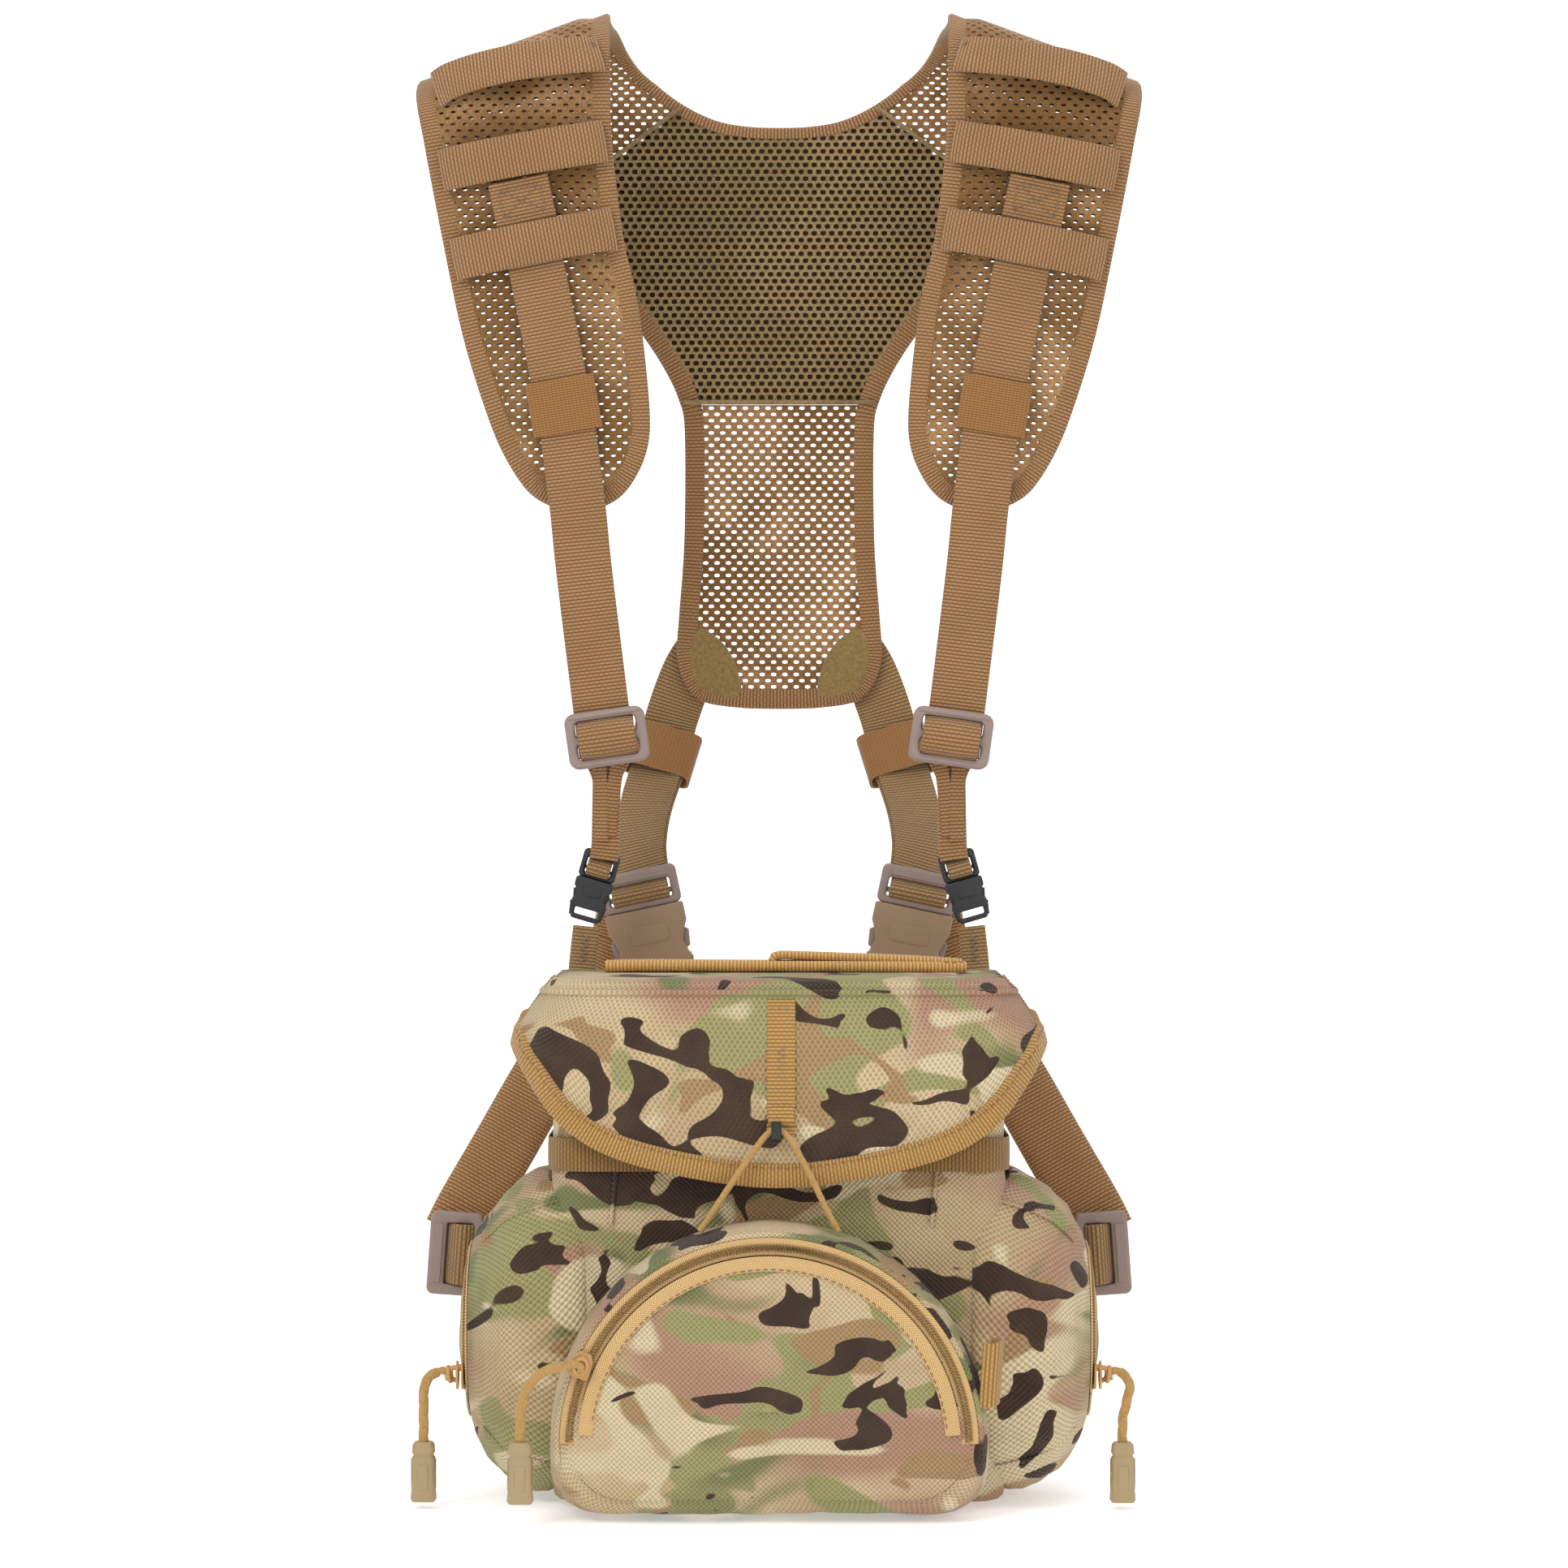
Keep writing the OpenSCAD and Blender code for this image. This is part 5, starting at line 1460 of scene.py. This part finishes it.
def female_parts(w, t, body_h, reach, bar):
    """The half that receives the prongs: two faces with side windows, rails, and a bar for the webbing."""
    foot = -body_h - bar * 2.6
    h = w / 2
    face = [(-h, -0.8), (-h + 0.8, 0), (h - 0.8, 0), (h, -0.8), (h, -reach * 0.36),
            (h - bar * 0.45, -reach * 0.5), (h - bar * 0.95, -reach * 0.72),
            (h - bar * 0.45, -reach * 0.98), (h, -reach * 1.08), (h - 0.6, -body_h),
            (h - bar * 0.5, foot + 2), (h - bar * 0.5 - 2, foot), (-h + bar * 0.5 + 2, foot),
            (-h + bar * 0.5, foot + 2), (-h + 0.6, -body_h), (-h, -reach * 1.08),
            (-h + bar * 0.45, -reach * 0.98), (-h + bar * 0.95, -reach * 0.72),
            (-h + bar * 0.45, -reach * 0.5), (-h, -reach * 0.36)][::-1]
    gap = round_rect(-h + bar * 1.3, foot + bar * 0.9, h - bar * 1.3, foot + bar * 2.3, 0.8)
    skin = t * 0.2
    parts = []
    for s in (-1, 1):
        parts.append(plate_part(face, [gap], skin, skin * 0.4, (0, 0, s * (t / 2 - skin / 2))))
        parts.append(plate_part(round_rect(-h * 0.5, -body_h * 0.62, h * 0.5, -body_h * 0.3, 1.5), [], 0.8,
                                0.3, (0, 0, s * (t / 2 - 0.1))))
    for s in (-1, 1):
        near, far = sorted((s * (h - 1.6), s * (h - 0.3)))
        rail = round_rect(near, -reach * 0.34, far, -0.3, 0.4)
        parts.append(plate_part(rail, [], t * 0.92, 0.3))
        near, far = sorted((s * (h - bar * 1.2), s * (h - 0.8)))
        low = round_rect(near, -body_h, far, -reach * 1.12, 0.4)
        parts.append(plate_part(low, [], t * 0.9, 0.4))
    parts.append(plate_part(round_rect(-h + bar, -body_h - bar * 0.3, h - bar, -body_h + bar * 0.5, 0.5),
                            [], t * 0.9, 0.4))
    parts.append(plate_part(round_rect(-h + bar * 0.9, foot + 0.2, h - bar * 0.9, foot + bar * 0.8, 0.5),
                            [], t * 0.9, 0.5))
    return parts


def pose_matrix(kind):
    at, degrees = BUCKLES[kind]
    m = Matrix.Translation(at) @ turn(degrees, "Y")
    return m @ turn(90, "X")


def buckles():
    males = {"small": (16.6, 6.4, 13, 11, 3.0), "mid": (36, 7, 18, 24, 4.8), "side": (37, 9, 23.4, 20, 6.0)}
    females = {"small": (17, 7.4, 13, 11, 2.3), "mid": (36, 9, 26, 24, 3.5), "side": (36, 9, 22, 20, 3.5)}
    rolls = {"small": (10.5, 1.7), "mid": (26, 2.2), "side": (27, 2.4)}
    for kind in BUCKLES:
        m = pose_matrix(kind)
        male = [moved(p, m) for p in male_parts(*males[kind])]
        female = [moved(p, m) for p in female_parts(*females[kind])]
        _, t, frame_h, _, bar = males[kind]
        width, thick = rolls[kind]
        bar_at = (frame_h - bar * 1.25) * 0.42 + bar * 0.25
        r = t * 0.5
        path = [(0, frame_h - bar * 1.4, -r * 1.2), (0, bar_at + r * 1.6, -r * 0.2),
                (0, bar_at + r * 0.8, r * 0.9),
                (0, bar_at, r * 1.3), (0, bar_at - r * 0.8, r * 0.8), (0, bar_at - r, -r * 0.2),
                (0, bar_at + r * 0.2, -r * 1.2), (0, frame_h - bar * 1.2, -r * 1.7)]
        roll = moved(ribbon_part(path, width, thick * 0.8, facing=(0, 0, 1), step=0.8), m)
        plastic, slot = (BLACK, "black_plastic") if kind == "small" else (TAUPE, "tan_plastic")
        for name, side in SIDES:
            piece(f"{name}_{kind}_male_v", male, plastic, f"{name}_{kind}_latch",
                  [f"{name}_{kind}_male"], side=side)
            piece(f"{name}_{kind}_roll_v", [roll], OLIVE_COYOTE, f"{name}_{kind}_latch",
                  side=side)
            piece(f"{name}_{kind}_female_v", female, BLACK if kind == "small" else TAN, "pack",
                  [f"{name}_{kind}_female"], side=side)


# ---------------------------------------------------------------- back panel
def back_panel():
    """Padding against the chest, with its net facing the wearer."""
    outline = np.array(round_rect(-68.5, 13.5, 68.5, 188.5, 12, 6))

    def face(x, z, inset, depth):
        return np.stack([x, BACK_Y + 2.6 + 2.6 * smooth(0, 16, depth) - inset, z], -1)

    net = piece("back_panel_v", [hole_sheet(outline, face, (4.1, 3.2), (2.3, 1.9), 1.2, 0.5)], SPACER,
                "pack", ["back_panel"], flat=True)
    rows = [outline * q + np.array([0, 101 * (1 - q)]) for q in (0.02, 0.4, 0.8, 0.93, 1.0)]
    ys = (BACK_Y + 3.4, BACK_Y + 3.4, BACK_Y + 3.2, BACK_Y + 2.4, BACK_Y + 0.9)
    top = np.array([np.column_stack([r[:, 0], np.full(len(r), y), r[:, 1]]) for r, y in zip(rows, ys)])
    low = top[::-1] * np.array([1, 0, 1]) + np.array([0, BACK_Y + 0.2, 0])
    piece("back_panel_core_v", [solid_part(np.concatenate([top, low]))], SPACER_DARK)
    line = np.vstack([outline, outline[:1]])
    rim = np.column_stack([line[:, 0], np.full(len(line), BACK_Y + 1.6), line[:, 1]])
    piece("back_panel_piping_v", [tube_part(resample(rim, 3), 1.5, 8)], COYOTE)


# ---------------------------------------------------------------- stage
CAMERA_AT = (0.0022, -1.978, 0.3054)
LENS_MM = 102.67
SENSOR_MM = 36


def stage():
    """White cove, soft lights and the camera."""
    profile = [(-3.0, 0), (0.3, 0), (1.0, 0.05), (1.6, 0.25), (2.1, 0.7), (2.4, 1.5), (2.5, 4.0)]
    line = catmull(profile, 6)
    points = [(x, y, z) for y, z in line for x in (-4.0, 4.0)]
    mesh = bpy.data.meshes.new("studio_floor")
    mesh.from_pydata(points, [], [(2 * i, 2 * i + 1, 2 * i + 3, 2 * i + 2) for i in range(len(line) - 1)])
    mesh.shade_smooth()
    s = Shader("studio_white", 0.9)
    s.base.inputs["Emission Color"].default_value = (1, 1, 1, 1)
    s.base.inputs["Emission Strength"].default_value = 0.35
    mesh.materials.append(s.finish((0.93, 0.93, 0.93, 1)))
    floor = bpy.data.objects.new("studio_floor", mesh)
    bpy.context.scene.collection.objects.link(floor)
    lamps = [("key", (-0.9, -1.5, 1.5), 0.9, 15), ("fill", (1.2, -1.4, 0.8), 1.3, 5),
             ("top", (0.1, -0.1, 1.9), 1.2, 11), ("front", (0, -2.6, 0.5), 1.2, 3)]
    for name, at, size, power in lamps:
        light = bpy.data.lights.new(name, "AREA")
        light.size = size
        light.energy = power
        obj = bpy.data.objects.new(name, light)
        obj.location = at
        obj.rotation_euler = (Vector((0, 0, 0.3)) - Vector(at)).to_track_quat("-Z", "Y").to_euler()
        bpy.context.scene.collection.objects.link(obj)
    world = bpy.data.worlds.new("studio")
    world.use_nodes = True
    world.node_tree.nodes["Background"].inputs["Color"].default_value = (1, 1, 1, 1)
    world.node_tree.nodes["Background"].inputs["Strength"].default_value = 0.6
    bpy.context.scene.world = world
    bpy.context.scene.view_settings.view_transform = "Standard"
    camera = bpy.data.cameras.new("camera")
    camera.lens = LENS_MM
    camera.sensor_width = SENSOR_MM
    obj = bpy.data.objects.new("camera", camera)
    obj.location = CAMERA_AT
    obj.rotation_euler = (math.radians(90), 0, 0)
    bpy.context.scene.collection.objects.link(obj)
    bpy.context.scene.camera = obj


pulls_and_bungee()
body_shell()
solid_fill("foam_liner", LINING)
solid_fill("base_board", BLACK)
lid()
lid_hinge_tape()
handle()
front_gusset()
front_face()
front_zipper()
pocket_tab()
for side_name, side_sign in SIDES:
    side_pocket(side_name, side_sign)
sliders()
shoulder_pads()
yoke()
body_straps()
keepers()
adjusters()
buckles()
back_panel()
stage()
